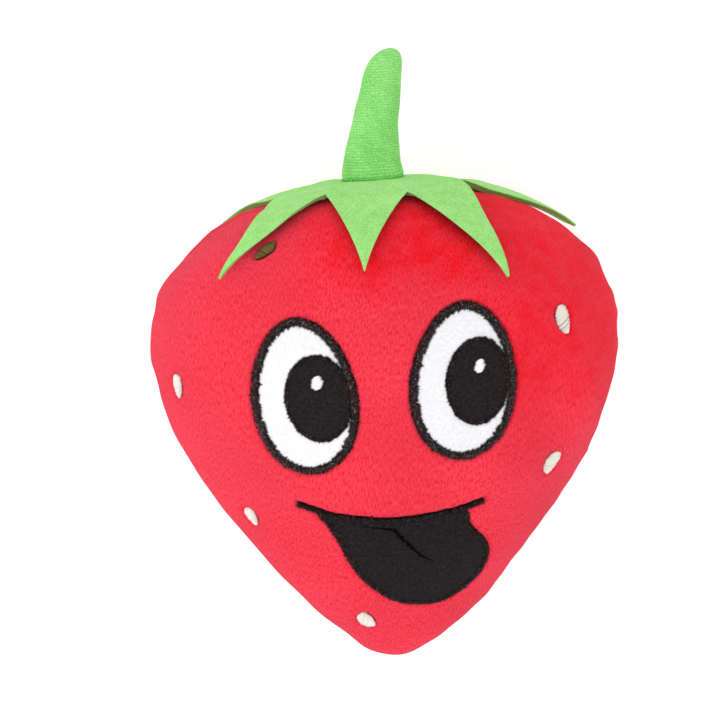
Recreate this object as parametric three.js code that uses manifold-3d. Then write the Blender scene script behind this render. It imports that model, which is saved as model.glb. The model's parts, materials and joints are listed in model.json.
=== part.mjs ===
// A stuffed plush strawberry toy that lies on its back, face up.
// +Z points out of the face, +Y runs towards the stalk and +X to the right of the face.
// The origin is the middle of the flat patch that the back rests on. All lengths are in millimetres.

import * as THREE from 'three';
import { mergeVertices } from 'three/addons/utils/BufferGeometryUtils.js';
import Module from 'manifold-3d';

const wasm = await Module();
wasm.setup();

// Driving dimensions of the stuffed body
const BODY_WIDTH = 131.7;        // across the side seams at the widest line
const DOME_HEIGHT = 43.1;        // widest line to the top of the shoulders
const CONE_LENGTH = 89.3;        // widest line to the pointed end
const FACE_DEPTH = 49;           // side seam to the fullest part of the face
const BACK_DEPTH = 45;           // side seam to the back, before it is pressed flat
const WIDEST_Y = 13.4;           // widest line, from the middle of the resting patch
const REST_CUT = 0.5;            // how deep the back is pressed flat where it rests
const PLUSH = 2.2;               // pile and backing cloth of each panel
const SEAM_GAP = 0.3;            // between the two panels along the side seam
const FILL_GAP = 0.4;            // between the panels and the wadding
const FIT_GAP = 0.3;             // between any other two pieces that touch
const OVERRUN = 10;              // how far a cutting block reaches past what it cuts
const WELD = 0.0001;             // corners closer than this are one corner
const PROBE = 0.05;              // step for finding the slope of a surface

// Section shapes of the body, as powers and shares
const DOME_POWER = 2.18;
const CONE_POWER = 1.75;
const CONE_STRAIGHT_SHARE = 2.01;
const CONE_TIP_POWER = 2.07;
const DEPTH_POWER = 0.85;
const FACE_ROUND_POWER = 2;
const BACK_ROUND_POWER = 2.2;
const BACK_LEAN_SHARE = 0.33;    // how much fuller the back grows over one cone length

// Driving dimensions of the face
const EYE_HEIGHT = 43;
const EYE_WIDTH = 28.6;
const EYE_EGG_SHARE = -0.075;    // how much wider an eye is towards its top: it is narrower there
const EYE_BORDER = 2.3;
const PUPIL_HEIGHT = 24.2;
const PUPIL_WIDTH = 17.4;
const PUPIL_BORDER = 1.3;
const GLINT_HEIGHT = 4.1;
const GLINT_WIDTH = 3.3;
const PATCH = 0.6;               // one layer of patch cloth
const STITCH_RISE = 0.5;         // how far satin stitching stands above its patch
const MOUTH_WIDTH = 50.7;
const TONGUE_DROP = 31.4;
const SMILE_STITCH = 1.4;
const MOUTH_STITCH = 1.2;
const CREASE_STITCH = 0.8;

// Where each eye lies: its middle from the middle of the widest line, as shares of the half width and of
// the cone length, and its pupil and glint as shares of the half sizes of what they lie on.
const EYES = {
  left: {
    placeShares: [-0.342, -0.1], tiltDeg: 4,
    pupilShares: [0.21, -0.01], pupilWidthShare: 1, glintShares: [0.03, 0.35],
  },
  right: {
    placeShares: [0.306, -0.074], tiltDeg: -4,
    pupilShares: [0.24, 0.01], pupilWidthShare: 0.94, glintShares: [0.12, 0.35],
  },
};

// The mouth's middle is placed like an eye's. Its lines are shares of half its width and the tongue's drop.
const MOUTH_PLACE_SHARES = [-0.01, -0.447];
const MOUTH_CENTRE_SHARES = [0.12, -0.5];
const SMILE_SHARES = [[-1, 0.03], [-0.59, -0.1], [-0.12, -0.15], [0.48, -0.12], [1, -0.03]];
const MOUTH_TOP_SHARES = [
  [-0.77, -0.11], [-0.59, -0.15], [-0.35, -0.175], [0, -0.195], [0.48, -0.165], [0.785, -0.14],
];
const MOUTH_SHARES = [
  [-0.77, -0.11], [-0.66, -0.21], [-0.52, -0.42], [-0.33, -0.7], [-0.06, -0.9], [0.235, -0.98],
  [0.56, -0.955], [0.86, -0.795], [1.01, -0.53], [0.9, -0.345], [0.785, -0.14],
];
const MOUTH_LOWER_SHARE = 0.65;  // share of the patch's outline that is below the smile line
const CREASE_SHARES = [[-0.35, -0.23], [-0.05, -0.25], [0.1, -0.33], [0.3, -0.51], [0.46, -0.58]];
const STITCH_EDGE_SHARE = 0.45;  // height of a satin stitch at its edge, of its height in the middle
const PATH_STEP_SHARE = 0.01;

// Driving dimensions of the seeds
const SEED_LENGTH = 8;
const SEED_WIDTH = 4.9;
const SEED_THICK = 0.4;
const SEED_CROWN = 0.3;
const SEED_POINT_SHARE = 0.3;    // how much narrower a seed is towards its point

// Seeds are placed from the widest line, as shares of the half width and of the dome's height above it or
// the cone's length below it, and turned by an angle in degrees. No two are quite as large: the last two
// numbers are shares of the seed's length and width.
const FACE_SEED_SHARES = [
  [0.73, 0.168, 16, 1, 1],
  [0.661, -0.365, -11, 0.86, 1.08],
  [-0.866, -0.08, 5, 0.85, 0.82],
  [-0.594, -0.499, 12, 0.76, 0.98],
  [-0.135, -0.856, 51, 0.72, 1.12],
  [-0.475, 0.682, -33, 0.88, 0.76],
];
const BACK_SEED_SHARES = [
  [0.62, 0.33, -15, 1, 0.95],
  [-0.4, 0.25, 10, 0.95, 1],
  [0.1, -0.42, 5, 0.9, 0.9],
  [-0.66, -0.27, -10, 0.85, 1],
  [0.52, -0.5, 15, 0.8, 0.95],
  [-0.16, -0.8, -20, 0.75, 1],
];

// Driving dimensions of the felt star and the stalk
const FELT = 1.8;
const LEAF_COUNT = 7;
const LEAF_REACH = 58;           // centre of the star to a leaf's point
const FRONT_LEAF_REACH = 51;
const VALLEY_REACH = 25;         // centre of the star to the notch between two leaves
const LEAF_POINT = 0.8;
const LEAF_TAPER_POWERS = [1.12, 1.35, 1.08, 1.08, 1.08, 1.08, 0.95];   // above one, a leaf's sides are hollow
const LEAF_RISE = 5;             // how far a leaf's point may stand off the body
const LEAF_RISE_SHARES = [0.4, 0.35, 0.15, 0.1, 0.1, 0.32, 0.3];
const LEAF_SWEEP = 6;            // how far a leaf's point may lie to one side of its middle
const LEAF_SWEEP_SHARES = [0, -0.7, 1.1, 0.2, -0.2, 0, 1.25];
const LEAF_BOW = 3;              // how far a leaf's middle line may bow to one side, halfway along
const LEAF_BOW_SHARES = [0, -1.15, 0.6, 0, 0, 0, 0.5];
const LEAF_RISE_POWER = 2;
const FRONT_LEAF_SHARE = 0.261;  // way the front leaf points, as a share of a turn from +X towards the face
const STAR_X = -1.6;             // the star and stalk sit a little to one side
const STEM_LENGTH = 35.4;
const STEM_BASE_RADIUS = 8.7;
const STEM_LOW_RADIUS = 7.6;
const STEM_TOP_RADIUS = 5.2;
const STEM_CAP_LENGTH = 8;
const STEM_LEAN = 6.6;
const STEM_WALL = 1;
const STEM_PIVOT_HEIGHT = 4;
const STEM_FLARE_LENGTH = 5;
const STEM_LEAN_POWER = 1.6;
const STEM_CAP_SHARE = 0.25;     // share of the stalk's rows that shape its rounded top
const BALL_SHARE = 0.35;         // share of the stuffing's rows that shape its round foot
const BALL_BLEND_SHARE = 0.5;
const HEM_HEIGHT = 2;
const HEM_WALL = 1;
const STEM_STITCH = 1.2;

// Driving dimensions of the squeaker
const BULB_RADIUS = 15.5;
const BULB_HEIGHT = 19;
const BULB_WALL = 1;
const BULB_FOLD = 2.4;           // how deep each bellows fold runs in
const BULB_FOLDS = 2;
const WHISTLE_RADIUS = 4.4;
const WHISTLE_WALL = 0.9;
const WHISTLE_LENGTH = 9;
const WHISTLE_FLANGE = 2;
const FLANGE_THICK = 1;
const REED_THICK = 0.4;
const REED_LENGTH = 7;
const SQUEAKER_Y = 4;            // middle of the squeaker, ahead of the resting patch
const POCKET_GAP = 0.5;

// Driving dimensions of the hand-closed gap in the side seam
const THREAD = 0.8;
const CLOSING_LENGTH = 34;
const CLOSING_STITCHES = 9;
const CLOSING_REACH = 1.6;
const CLOSING_START_SHARE = 0.36;

// Mesh steps
const HEIGHT_STEPS = 400;
const ARC_STEPS = 120;
const PANEL_ACROSS = 24;
const PANEL_ALONG = 26;
const WAD_ACROSS = 16;
const WAD_ALONG = 14;
const EYE_SIDES = 28;
const EYE_RINGS = 3;
const EYE_BORDER_STEPS = 36;
const PUPIL_SIDES = 22;
const PUPIL_RINGS = 2;
const PUPIL_BORDER_STEPS = 28;
const GLINT_SIDES = 12;
const SMILE_STEPS = 24;
const MOUTH_SIDES = 36;
const MOUTH_RINGS = 3;
const MOUTH_BORDER_STEPS = 30;
const CREASE_STEPS = 10;
const SEED_SIDES = 12;
const SEED_RINGS = 2;
const BULB_SEGMENTS = 20;
const WHISTLE_SEGMENTS = 16;
const HUB_STEPS = 4;
const HUB_RINGS = 3;
const LEAF_ACROSS = 4;
const LEAF_ALONG = 8;
const STEM_ACROSS = 18;
const STEM_ALONG = 12;
const THREAD_SIDES = 5;
const THREAD_STEPS = 4;

// Finishes
const finish = (color, roughness, metalness = 0) =>
  new THREE.MeshStandardMaterial({ color, roughness, metalness });
const RED_PLUSH = finish(0xf23c4e, 0.95);
const GREEN_FELT = finish(0x94dd79, 0.95);
const GREEN_KNIT = finish(0x8ed975, 0.9);
const WHITE_CLOTH = finish(0xfbfafc, 0.8);
const BLACK_CLOTH = finish(0x262325, 0.85);
const BLACK_THREAD = finish(0x1b191b, 0.5);
const WHITE_THREAD = finish(0xffffff, 0.5);
const CREAM_THREAD = finish(0xf0dcd0, 0.6);
const RED_THREAD = finish(0xc8202f, 0.6);
const WADDING = finish(0xf4f4f0, 1);
const SQUEAKER_PLASTIC = finish(0xe9e6dc, 0.4);

const toy = new THREE.Group();

// Closed meshes

// Turns rows of corners into a closed mesh, dropping faces that shrink to a line.
function closedGeometry(corners, faces) {
  const loose = new THREE.BufferGeometry();
  const places = corners.flatMap((corner) => corner.toArray());
  loose.setAttribute('position', new THREE.Float32BufferAttribute(places, 3));
  loose.setIndex(faces.flat());
  const merged = mergeVertices(loose, WELD);
  const index = Array.from(merged.index.array);
  const kept = [];
  for (let i = 0; i < index.length; i += 3) {
    const [a, b, c] = index.slice(i, i + 3);
    if (a !== b && b !== c && c !== a) kept.push(a, b, c);
  }
  merged.setIndex(kept);
  return outward(merged);
}

// Turns every face round where the mesh would enclose a negative volume.
function outward(geometry) {
  const place = geometry.attributes.position;
  const index = Array.from(geometry.index.array);
  const [a, b, c] = [new THREE.Vector3(), new THREE.Vector3(), new THREE.Vector3()];
  let volume = 0;
  for (let i = 0; i < index.length; i += 3) {
    a.fromBufferAttribute(place, index[i]);
    b.fromBufferAttribute(place, index[i + 1]);
    c.fromBufferAttribute(place, index[i + 2]);
    volume += a.dot(b.clone().cross(c));
  }
  if (volume < 0) {
    for (let i = 0; i < index.length; i += 3) [index[i], index[i + 1]] = [index[i + 1], index[i]];
  }
  geometry.setIndex(index);
  return geometry;
}

// A sheet with thickness: at(u, v, layer) gives a corner, u and v from 0 to 1, layer 0 outside and 1 inside.
// A sheet that is wrapped in u or v joins its own far side, and rows may shrink to a point.
function thickSheet(across, along, at, { wrapU = false, wrapV = false } = {}) {
  const columns = wrapU ? across : across + 1;
  const rows = wrapV ? along : along + 1;
  const corners = [];
  for (const layer of [0, 1]) {
    for (let j = 0; j < rows; j++) {
      for (let i = 0; i < columns; i++) corners.push(at(i / across, j / along, layer));
    }
  }
  const id = (i, j, layer) => layer * rows * columns + (j % rows) * columns + (i % columns);
  const faces = [];
  const quad = (a, b, c, d) => faces.push([a, b, c], [a, c, d]);
  for (let j = 0; j < along; j++) {
    for (let i = 0; i < across; i++) {
      quad(id(i, j, 0), id(i + 1, j, 0), id(i + 1, j + 1, 0), id(i, j + 1, 0));
      quad(id(i, j, 1), id(i, j + 1, 1), id(i + 1, j + 1, 1), id(i + 1, j, 1));
    }
  }
  for (let j = 0; j < along && !wrapU; j++) {
    quad(id(0, j, 0), id(0, j + 1, 0), id(0, j + 1, 1), id(0, j, 1));
    quad(id(across, j, 0), id(across, j, 1), id(across, j + 1, 1), id(across, j + 1, 0));
  }
  for (let i = 0; i < across && !wrapV; i++) {
    quad(id(i, 0, 0), id(i, 0, 1), id(i + 1, 0, 1), id(i + 1, 0, 0));
    quad(id(i, along, 0), id(i + 1, along, 0), id(i + 1, along, 1), id(i, along, 1));
  }
  return closedGeometry(corners, faces);
}

function asSolid(geometry) {
  const bare = geometry.clone();
  for (const name of Object.keys(bare.attributes)) {
    if (name !== 'position') bare.deleteAttribute(name);
  }
  const merged = mergeVertices(bare, WELD);
  return new wasm.Manifold(new wasm.Mesh({
    numProp: 3,
    vertProperties: new Float32Array(merged.attributes.position.array),
    triVerts: new Uint32Array(merged.index.array),
  }));
}

function asGeometry(solid) {
  const mesh = solid.getMesh();
  const geometry = new THREE.BufferGeometry();
  geometry.setAttribute('position', new THREE.BufferAttribute(new Float32Array(mesh.vertProperties), 3));
  geometry.setIndex(Array.from(mesh.triVerts));
  return geometry;
}

function cut(geometry, ...tools) {
  return asGeometry(tools.reduce((left, tool) => left.subtract(asSolid(tool)), asSolid(geometry)));
}

function add(name, geometry, material) {
  const flat = geometry.index ? geometry.toNonIndexed() : geometry;
  flat.computeVertexNormals();
  const mesh = new THREE.Mesh(flat, material);
  mesh.name = name;
  toy.add(mesh);
}

// The body's outer surface: two plush panels joined along the side seam

const HALF_WIDTH = BODY_WIDTH / 2;
const FACE = 1;
const BACK = -1;

// Half width at height y. Above the widest line it is a rounded dome, below it a straight-sided cone
// with a blunt point. inset draws the whole surface in, for the wadding and the inner wall of a panel.
function halfWidth(y, inset = 0) {
  const above = (y - WIDEST_Y) / (DOME_HEIGHT - inset);
  const below = (WIDEST_Y - y) / (CONE_LENGTH - inset);
  if (above >= 1 || below >= 1) return 0;
  if (above > 0) return (HALF_WIDTH - inset) * (1 - above ** DOME_POWER) ** (1 / DOME_POWER);
  const taper = CONE_STRAIGHT_SHARE * Math.max(below, 0) ** CONE_POWER
    - (CONE_STRAIGHT_SHARE - 1) * Math.max(below, 0) ** 3;
  return (HALF_WIDTH - inset) * (1 - taper) ** (1 / CONE_TIP_POWER);
}

function depth(side, y, inset = 0) {
  const width = (halfWidth(y, inset) / (HALF_WIDTH - inset)) ** DEPTH_POWER;
  if (side === FACE) return (FACE_DEPTH - inset) * width;
  return (BACK_DEPTH - inset) * width * (1 - BACK_LEAN_SHARE * y / CONE_LENGTH);
}

// The seam plane lies above the floor by the back's fullest depth, less the flat that it rests on.
let backReach = 0;
for (let i = 0; i <= HEIGHT_STEPS; i++) {
  const y = WIDEST_Y + DOME_HEIGHT - (DOME_HEIGHT + CONE_LENGTH) * (i / HEIGHT_STEPS);
  backReach = Math.max(backReach, depth(BACK, y));
}
const SEAM_Z = backReach - REST_CUT;
const power = (side) => (side === FACE ? FACE_ROUND_POWER : BACK_ROUND_POWER);

// Rows run from the top of the dome (v = 0) to the pointed end (v = 1), closest together at both ends.
function rowHeight(v, inset = 0) {
  const turn = Math.PI * v;
  if (turn < Math.PI / 2) return WIDEST_Y + (DOME_HEIGHT - inset) * Math.cos(turn) ** (2 / DOME_POWER);
  return WIDEST_Y + (CONE_LENGTH - inset) * Math.cos(turn);
}

const signedPower = (value, exponent) => Math.sign(value) * Math.abs(value) ** exponent;

function panelPoint(side, u, v, inset) {
  const y = rowHeight(v, inset);
  const turn = Math.PI * u;
  const shape = 2 / power(side);
  const x = halfWidth(y, inset) * signedPower(Math.cos(turn), shape);
  const z = depth(side, y, inset) * Math.abs(Math.sin(turn)) ** shape;
  return new THREE.Vector3(x, y, SEAM_Z + side * (z + SEAM_GAP / 2));
}

// Height of one side of the body over a place (x, y) seen square to the face.
function bulge(side, x, y) {
  const share = Math.min(Math.abs(x) / Math.max(halfWidth(y), WELD), 1);
  return depth(side, y) * (1 - share ** power(side)) ** (1 / power(side));
}

// The point of the body over (x, y), raised by lift square to the surface.
function onBody(side, x, y, lift) {
  const slopeX = (bulge(side, x + PROBE, y) - bulge(side, x - PROBE, y)) / (2 * PROBE);
  const slopeY = (bulge(side, x, y + PROBE) - bulge(side, x, y - PROBE)) / (2 * PROBE);
  const out = new THREE.Vector3(-slopeX, -slopeY, 1).normalize();
  const height = bulge(side, x, y) + SEAM_GAP / 2;
  return new THREE.Vector3(x + out.x * lift, y + out.y * lift, SEAM_Z + side * (height + out.z * lift));
}

// Panels and wadding

function panel(side) {
  return thickSheet(PANEL_ACROSS, PANEL_ALONG, (u, v, layer) => panelPoint(side, u, v, layer * PLUSH));
}

function block(width, height, low, high) {
  const box = new THREE.BoxGeometry(width, height, high - low);
  return box.translate(0, 0, (low + high) / 2);
}

const WIDE = BODY_WIDTH + OVERRUN;
const TALL = 2 * (DOME_HEIGHT + CONE_LENGTH) + OVERRUN;
const pressedFlat = block(WIDE, TALL, -BACK_DEPTH, 0);
add('front_panel', panel(FACE), RED_PLUSH);
add('back_panel', cut(panel(BACK), pressedFlat), RED_PLUSH);

const POCKET_RADIUS = BULB_RADIUS + POCKET_GAP;
const POCKET_DEPTH = BULB_HEIGHT / 2 + FLANGE_THICK + POCKET_GAP + FIT_GAP;

function wad(side) {
  const inset = PLUSH + FILL_GAP;
  const solid = thickSheet(WAD_ACROSS, WAD_ALONG, (u, v, layer) => {
    const corner = panelPoint(side, u, v, inset);
    if (layer === 1) corner.z = SEAM_Z + side * SEAM_GAP / 2;
    return corner;
  });
  const pocket = new THREE.CylinderGeometry(POCKET_RADIUS, POCKET_RADIUS, 2 * POCKET_DEPTH, BULB_SEGMENTS);
  pocket.rotateX(Math.PI / 2).translate(0, SQUEAKER_Y, SEAM_Z);
  return cut(solid, pocket);
}

add('front_filling', wad(FACE), WADDING);
add('back_filling', wad(BACK), WADDING);

// Squeaker: a bellows bulb that stands on the back wadding, with a whistle in its mouth

const BULB_LOW = SEAM_Z - BULB_HEIGHT / 2;
const BULB_HIGH = SEAM_Z + BULB_HEIGHT / 2;
const MOUTH_RADIUS = WHISTLE_RADIUS + FIT_GAP;

// A turned piece from a closed profile of [radius, height] corners, about the squeaker's axis.
function turned(profile, segments = BULB_SEGMENTS) {
  const points = profile.map(([radius, height]) => new THREE.Vector2(radius, height));
  const lathe = new THREE.LatheGeometry([...points, points[0].clone()], segments);
  for (const name of ['normal', 'uv']) lathe.deleteAttribute(name);
  const place = lathe.attributes.position;
  const corners = [];
  for (let i = 0; i < place.count; i++) corners.push(new THREE.Vector3().fromBufferAttribute(place, i));
  const index = Array.from(lathe.index.array);
  const faces = [];
  for (let i = 0; i < index.length; i += 3) faces.push(index.slice(i, i + 3));
  return closedGeometry(corners, faces).rotateX(Math.PI / 2).translate(0, SQUEAKER_Y, 0);
}

const foldStep = (BULB_HEIGHT - 2 * BULB_WALL) / (2 * BULB_FOLDS);
const outerWall = [];
for (let i = 0; i <= 2 * BULB_FOLDS; i++) {
  outerWall.push([BULB_RADIUS - (i % 2) * BULB_FOLD, BULB_LOW + BULB_WALL + i * foldStep]);
}
const innerWall = outerWall.map(([radius, height]) => [radius - BULB_WALL, height]).reverse();
add('squeaker_bulb', turned([
  [0, BULB_LOW],
  [BULB_RADIUS - BULB_FOLD, BULB_LOW],
  ...outerWall,
  [BULB_RADIUS - BULB_FOLD, BULB_HIGH],
  [MOUTH_RADIUS, BULB_HIGH],
  [MOUTH_RADIUS, BULB_HIGH - BULB_WALL],
  ...innerWall,
  [0, BULB_LOW + BULB_WALL],
]), SQUEAKER_PLASTIC);

const whistleTop = BULB_HIGH + FIT_GAP + FLANGE_THICK;
const whistleBottom = whistleTop - WHISTLE_LENGTH;
const whistleBore = WHISTLE_RADIUS - WHISTLE_WALL;
add('whistle_housing', turned([
  [whistleBore, whistleBottom],
  [WHISTLE_RADIUS, whistleBottom],
  [WHISTLE_RADIUS, whistleTop - FLANGE_THICK],
  [WHISTLE_RADIUS + WHISTLE_FLANGE, whistleTop - FLANGE_THICK],
  [WHISTLE_RADIUS + WHISTLE_FLANGE, whistleTop],
  [whistleBore, whistleTop],
], WHISTLE_SEGMENTS), SQUEAKER_PLASTIC);

// The reed lies across the middle of the bore, against the flat of a wedge that wedges it in place.
const wedgeRadius = whistleBore - FIT_GAP;
const wedgeLow = REED_THICK / 2 + FIT_GAP;
const wedgeShape = new THREE.Shape();
const wedgeTurn = Math.asin(wedgeLow / wedgeRadius);
wedgeShape.absarc(0, 0, wedgeRadius, wedgeTurn, Math.PI - wedgeTurn, false);
const wedge = new THREE.ExtrudeGeometry(wedgeShape, {
  depth: REED_LENGTH,
  bevelEnabled: false,
  curveSegments: WHISTLE_SEGMENTS / 2,
});
wedge.translate(0, SQUEAKER_Y, whistleTop - REED_LENGTH);
add('whistle_wedge', wedge, SQUEAKER_PLASTIC);
const reed = new THREE.BoxGeometry(wedgeRadius, REED_THICK, REED_LENGTH);
reed.translate(0, SQUEAKER_Y, whistleTop - REED_LENGTH / 2);
add('whistle_reed', reed, SQUEAKER_PLASTIC);

// Patches and stitching on the body

// A patch of cloth over a closed outline: rim(turn) gives the outline's corner, turn from 0 to 1.
// crown lifts the middle of its top above the edge.
function patch(side, centre, rim, low, thick, sides, rings, crown = 0) {
  return thickSheet(sides, rings, (u, v, layer) => {
    const edge = rim(u);
    const spot = centre.clone().lerp(edge, v);
    const lift = layer === 1 ? low : low + thick + crown * (1 - v * v);
    return onBody(side, spot.x, spot.y, lift);
  }, { wrapU: true });
}

// A line of satin stitching: path(v) runs along its middle, and it is rounded across its width.
function stitchLine(side, path, width, low, rise, steps, closed = false) {
  return thickSheet(2, steps, (u, v, layer) => {
    const here = path(v);
    const ahead = path(closed ? (v + PATH_STEP_SHARE) % 1 : Math.min(v + PATH_STEP_SHARE, 1));
    const behind = path(closed ? (v + 1 - PATH_STEP_SHARE) % 1 : Math.max(v - PATH_STEP_SHARE, 0));
    const along = ahead.sub(behind).normalize();
    const spot = here.add(new THREE.Vector2(-along.y, along.x).multiplyScalar((u - 1 / 2) * width));
    const crown = u === 1 / 2 ? rise : rise * STITCH_EDGE_SHARE;
    return onBody(side, spot.x, spot.y, layer === 1 ? low : low + crown);
  }, { wrapV: closed });
}

// An egg shape, turned by tilt about its centre. It is wider towards its top by eggShare, or narrower
// where that is below zero.
function egg(centre, width, height, tilt, eggShare = 0) {
  return (turn) => {
    const angle = 2 * Math.PI * turn;
    const lean = 1 + eggShare * Math.sin(angle);
    const corner = new THREE.Vector2(width / 2 * Math.cos(angle) * lean, height / 2 * Math.sin(angle));
    return corner.rotateAround(new THREE.Vector2(), tilt).add(centre);
  };
}

// Face: each eye is a white patch in a stitched border, with a black patch and a stitched glint on it

// Each layer lies on the one below: border stitching covers the raw edge of its patch.
const onPatch = FIT_GAP + PATCH + FIT_GAP;
const onPupil = onPatch + PATCH + FIT_GAP;

for (const [name, eye] of Object.entries(EYES)) {
  const middle = new THREE.Vector2(
    eye.placeShares[0] * HALF_WIDTH,
    WIDEST_Y + eye.placeShares[1] * CONE_LENGTH,
  );
  const tilt = THREE.MathUtils.degToRad(eye.tiltDeg);
  const eyeEdge = egg(middle, EYE_WIDTH - EYE_BORDER, EYE_HEIGHT - EYE_BORDER, tilt, EYE_EGG_SHARE);
  add(`eye_white_${name}`, patch(
    FACE, middle, eyeEdge, FIT_GAP, PATCH, EYE_SIDES, EYE_RINGS,
  ), WHITE_CLOTH);
  add(`eye_border_${name}`, stitchLine(
    FACE, eyeEdge, EYE_BORDER, onPatch, STITCH_RISE, EYE_BORDER_STEPS, true,
  ), BLACK_THREAD);

  const spot = middle.clone().add(new THREE.Vector2(
    eye.pupilShares[0] * EYE_WIDTH / 2,
    eye.pupilShares[1] * EYE_HEIGHT / 2,
  ));
  const pupilWidth = PUPIL_WIDTH * eye.pupilWidthShare;
  const pupilEdge = egg(spot, pupilWidth - PUPIL_BORDER, PUPIL_HEIGHT - PUPIL_BORDER, tilt);
  add(`pupil_${name}`, patch(
    FACE, spot, pupilEdge, onPatch, PATCH, PUPIL_SIDES, PUPIL_RINGS,
  ), BLACK_CLOTH);
  add(`pupil_border_${name}`, stitchLine(
    FACE, pupilEdge, PUPIL_BORDER, onPupil, STITCH_RISE, PUPIL_BORDER_STEPS, true,
  ), BLACK_THREAD);
  const glint = spot.clone().add(new THREE.Vector2(
    eye.glintShares[0] * pupilWidth / 2,
    eye.glintShares[1] * PUPIL_HEIGHT / 2,
  ));
  add(`eye_glint_${name}`, patch(
    FACE, glint, egg(glint, GLINT_WIDTH, GLINT_HEIGHT, tilt), onPupil, STITCH_RISE, GLINT_SIDES, 1,
  ), WHITE_THREAD);
}

// Mouth: a thin smile line with the open mouth hanging from it as one black patch

const mouthMiddle = new THREE.Vector2(
  MOUTH_PLACE_SHARES[0] * HALF_WIDTH,
  WIDEST_Y + MOUTH_PLACE_SHARES[1] * CONE_LENGTH,
);
const mouthSpots = (shares) => shares.map(([x, y]) => new THREE.Vector2(
  mouthMiddle.x + x * MOUTH_WIDTH / 2,
  mouthMiddle.y + y * TONGUE_DROP,
));
const smoothPath = (spots) => {
  const curve = new THREE.SplineCurve(spots);
  return (v) => curve.getPointAt(v);
};
add('smile_stitch', stitchLine(
  FACE, smoothPath(mouthSpots(SMILE_SHARES)), SMILE_STITCH, FIT_GAP, PATCH + STITCH_RISE, SMILE_STEPS,
), BLACK_THREAD);
const mouthEdge = smoothPath(mouthSpots(MOUTH_SHARES));
add('mouth_border', stitchLine(
  FACE, mouthEdge, MOUTH_STITCH, onPatch, STITCH_RISE, MOUTH_BORDER_STEPS,
), BLACK_THREAD);

// The patch fills the space inside the border, up to just below the smile line.
const mouthCentre = mouthSpots([MOUTH_CENTRE_SHARES])[0];
const upperEdge = smoothPath(mouthSpots(MOUTH_TOP_SHARES));
function mouthRim(turn) {
  const lower = turn < MOUTH_LOWER_SHARE;
  return lower ? mouthEdge(turn / MOUTH_LOWER_SHARE) : upperEdge((1 - turn) / (1 - MOUTH_LOWER_SHARE));
}
add('mouth_patch', patch(
  FACE, mouthCentre, mouthRim, FIT_GAP, PATCH, MOUTH_SIDES, MOUTH_RINGS,
), BLACK_CLOTH);
add('tongue_crease', stitchLine(
  FACE, smoothPath(mouthSpots(CREASE_SHARES)), CREASE_STITCH, onPatch, STITCH_RISE, CREASE_STEPS,
), BLACK_THREAD);

// Seeds: pointed ovals of satin stitch, scattered over both panels

function seedRim(centre, side, turnDeg, lengthShare, widthShare) {
  const aim = THREE.MathUtils.degToRad(turnDeg);
  const here = onBody(side, centre.x, centre.y, 0);
  const right = onBody(side, centre.x + PROBE, centre.y, 0).sub(here).normalize();
  const up = onBody(side, centre.x, centre.y + PROBE, 0).sub(here);
  up.addScaledVector(right, -up.dot(right)).normalize();
  return (turn) => {
    const angle = 2 * Math.PI * turn;
    const narrow = 1 + SEED_POINT_SHARE * Math.sin(angle);
    const flat = new THREE.Vector2(
      SEED_WIDTH * widthShare / 2 * Math.cos(angle) * narrow,
      SEED_LENGTH * lengthShare / 2 * Math.sin(angle),
    ).rotateAround(new THREE.Vector2(), aim);
    const corner = here.clone().addScaledVector(right, flat.x).addScaledVector(up, flat.y);
    return new THREE.Vector2(corner.x, corner.y);
  };
}

for (const [side, name, seeds] of [[FACE, 'front', FACE_SEED_SHARES], [BACK, 'back', BACK_SEED_SHARES]]) {
  seeds.forEach(([x, y, ...shape], i) => {
    const reach = y > 0 ? DOME_HEIGHT : CONE_LENGTH;
    const centre = new THREE.Vector2(x * HALF_WIDTH, WIDEST_Y + y * reach);
    add(`seed_${name}_${i + 1}`, patch(
      side, centre, seedRim(centre, side, ...shape), FIT_GAP, SEED_THICK, SEED_SIDES, SEED_RINGS, SEED_CROWN,
    ), CREAM_THREAD);
  });
}

// Calyx: a seven-pointed star of felt, draped over the shoulders and split at each leaf's fold

const FELT_LOW = FIT_GAP + SEAM_GAP / 2;

// Where a place of the flat star comes to lie. right and front are measured on the flat felt from the
// star's middle, and along the body's surface once it is draped. lift raises the place off the body.
function draped(right, front, lift) {
  const reach = Math.hypot(right + STAR_X, front);
  const way = Math.atan2(front, right + STAR_X);
  const side = front < 0 ? BACK : FACE;
  const n = power(side);
  const spread = (y) => {
    const wide = Math.abs(Math.cos(way)) / Math.max(halfWidth(y), WELD);
    const deep = Math.abs(Math.sin(way)) / Math.max(depth(side, y), WELD);
    return (wide ** n + deep ** n) ** (-1 / n);
  };
  let gone = 0;
  let [lastR, lastY] = [0, WIDEST_Y + DOME_HEIGHT];
  for (let i = 1; i <= ARC_STEPS; i++) {
    const y = WIDEST_Y + DOME_HEIGHT * Math.cos(Math.PI / 2 * i / ARC_STEPS) ** (2 / DOME_POWER);
    const r = spread(y);
    const step = Math.hypot(r - lastR, y - lastY);
    if (gone + step >= reach || i === ARC_STEPS) {
      const share = (reach - gone) / step;
      const slope = Math.atan2(lastY - y, r - lastR);
      const out = lastR + (r - lastR) * share + Math.sin(slope) * lift;
      const height = lastY + (y - lastY) * share + Math.cos(slope) * lift;
      return new THREE.Vector3(out * Math.cos(way), height, SEAM_Z + out * Math.sin(way));
    }
    gone += step;
    [lastR, lastY] = [r, y];
  }
}

const LEAF_TURN = 2 * Math.PI / LEAF_COUNT;
const FRONT_WAY = 2 * Math.PI * FRONT_LEAF_SHARE;
const FOLD_REACH = VALLEY_REACH * Math.cos(LEAF_TURN / 2);
const FOLD_HALF = VALLEY_REACH * Math.sin(LEAF_TURN / 2);
const BALL_RADIUS = STEM_PIVOT_HEIGHT + FELT;
const HOLE_RADIUS = Math.sqrt(BALL_RADIUS ** 2 - STEM_PIVOT_HEIGHT ** 2) + FIT_GAP;

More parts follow.
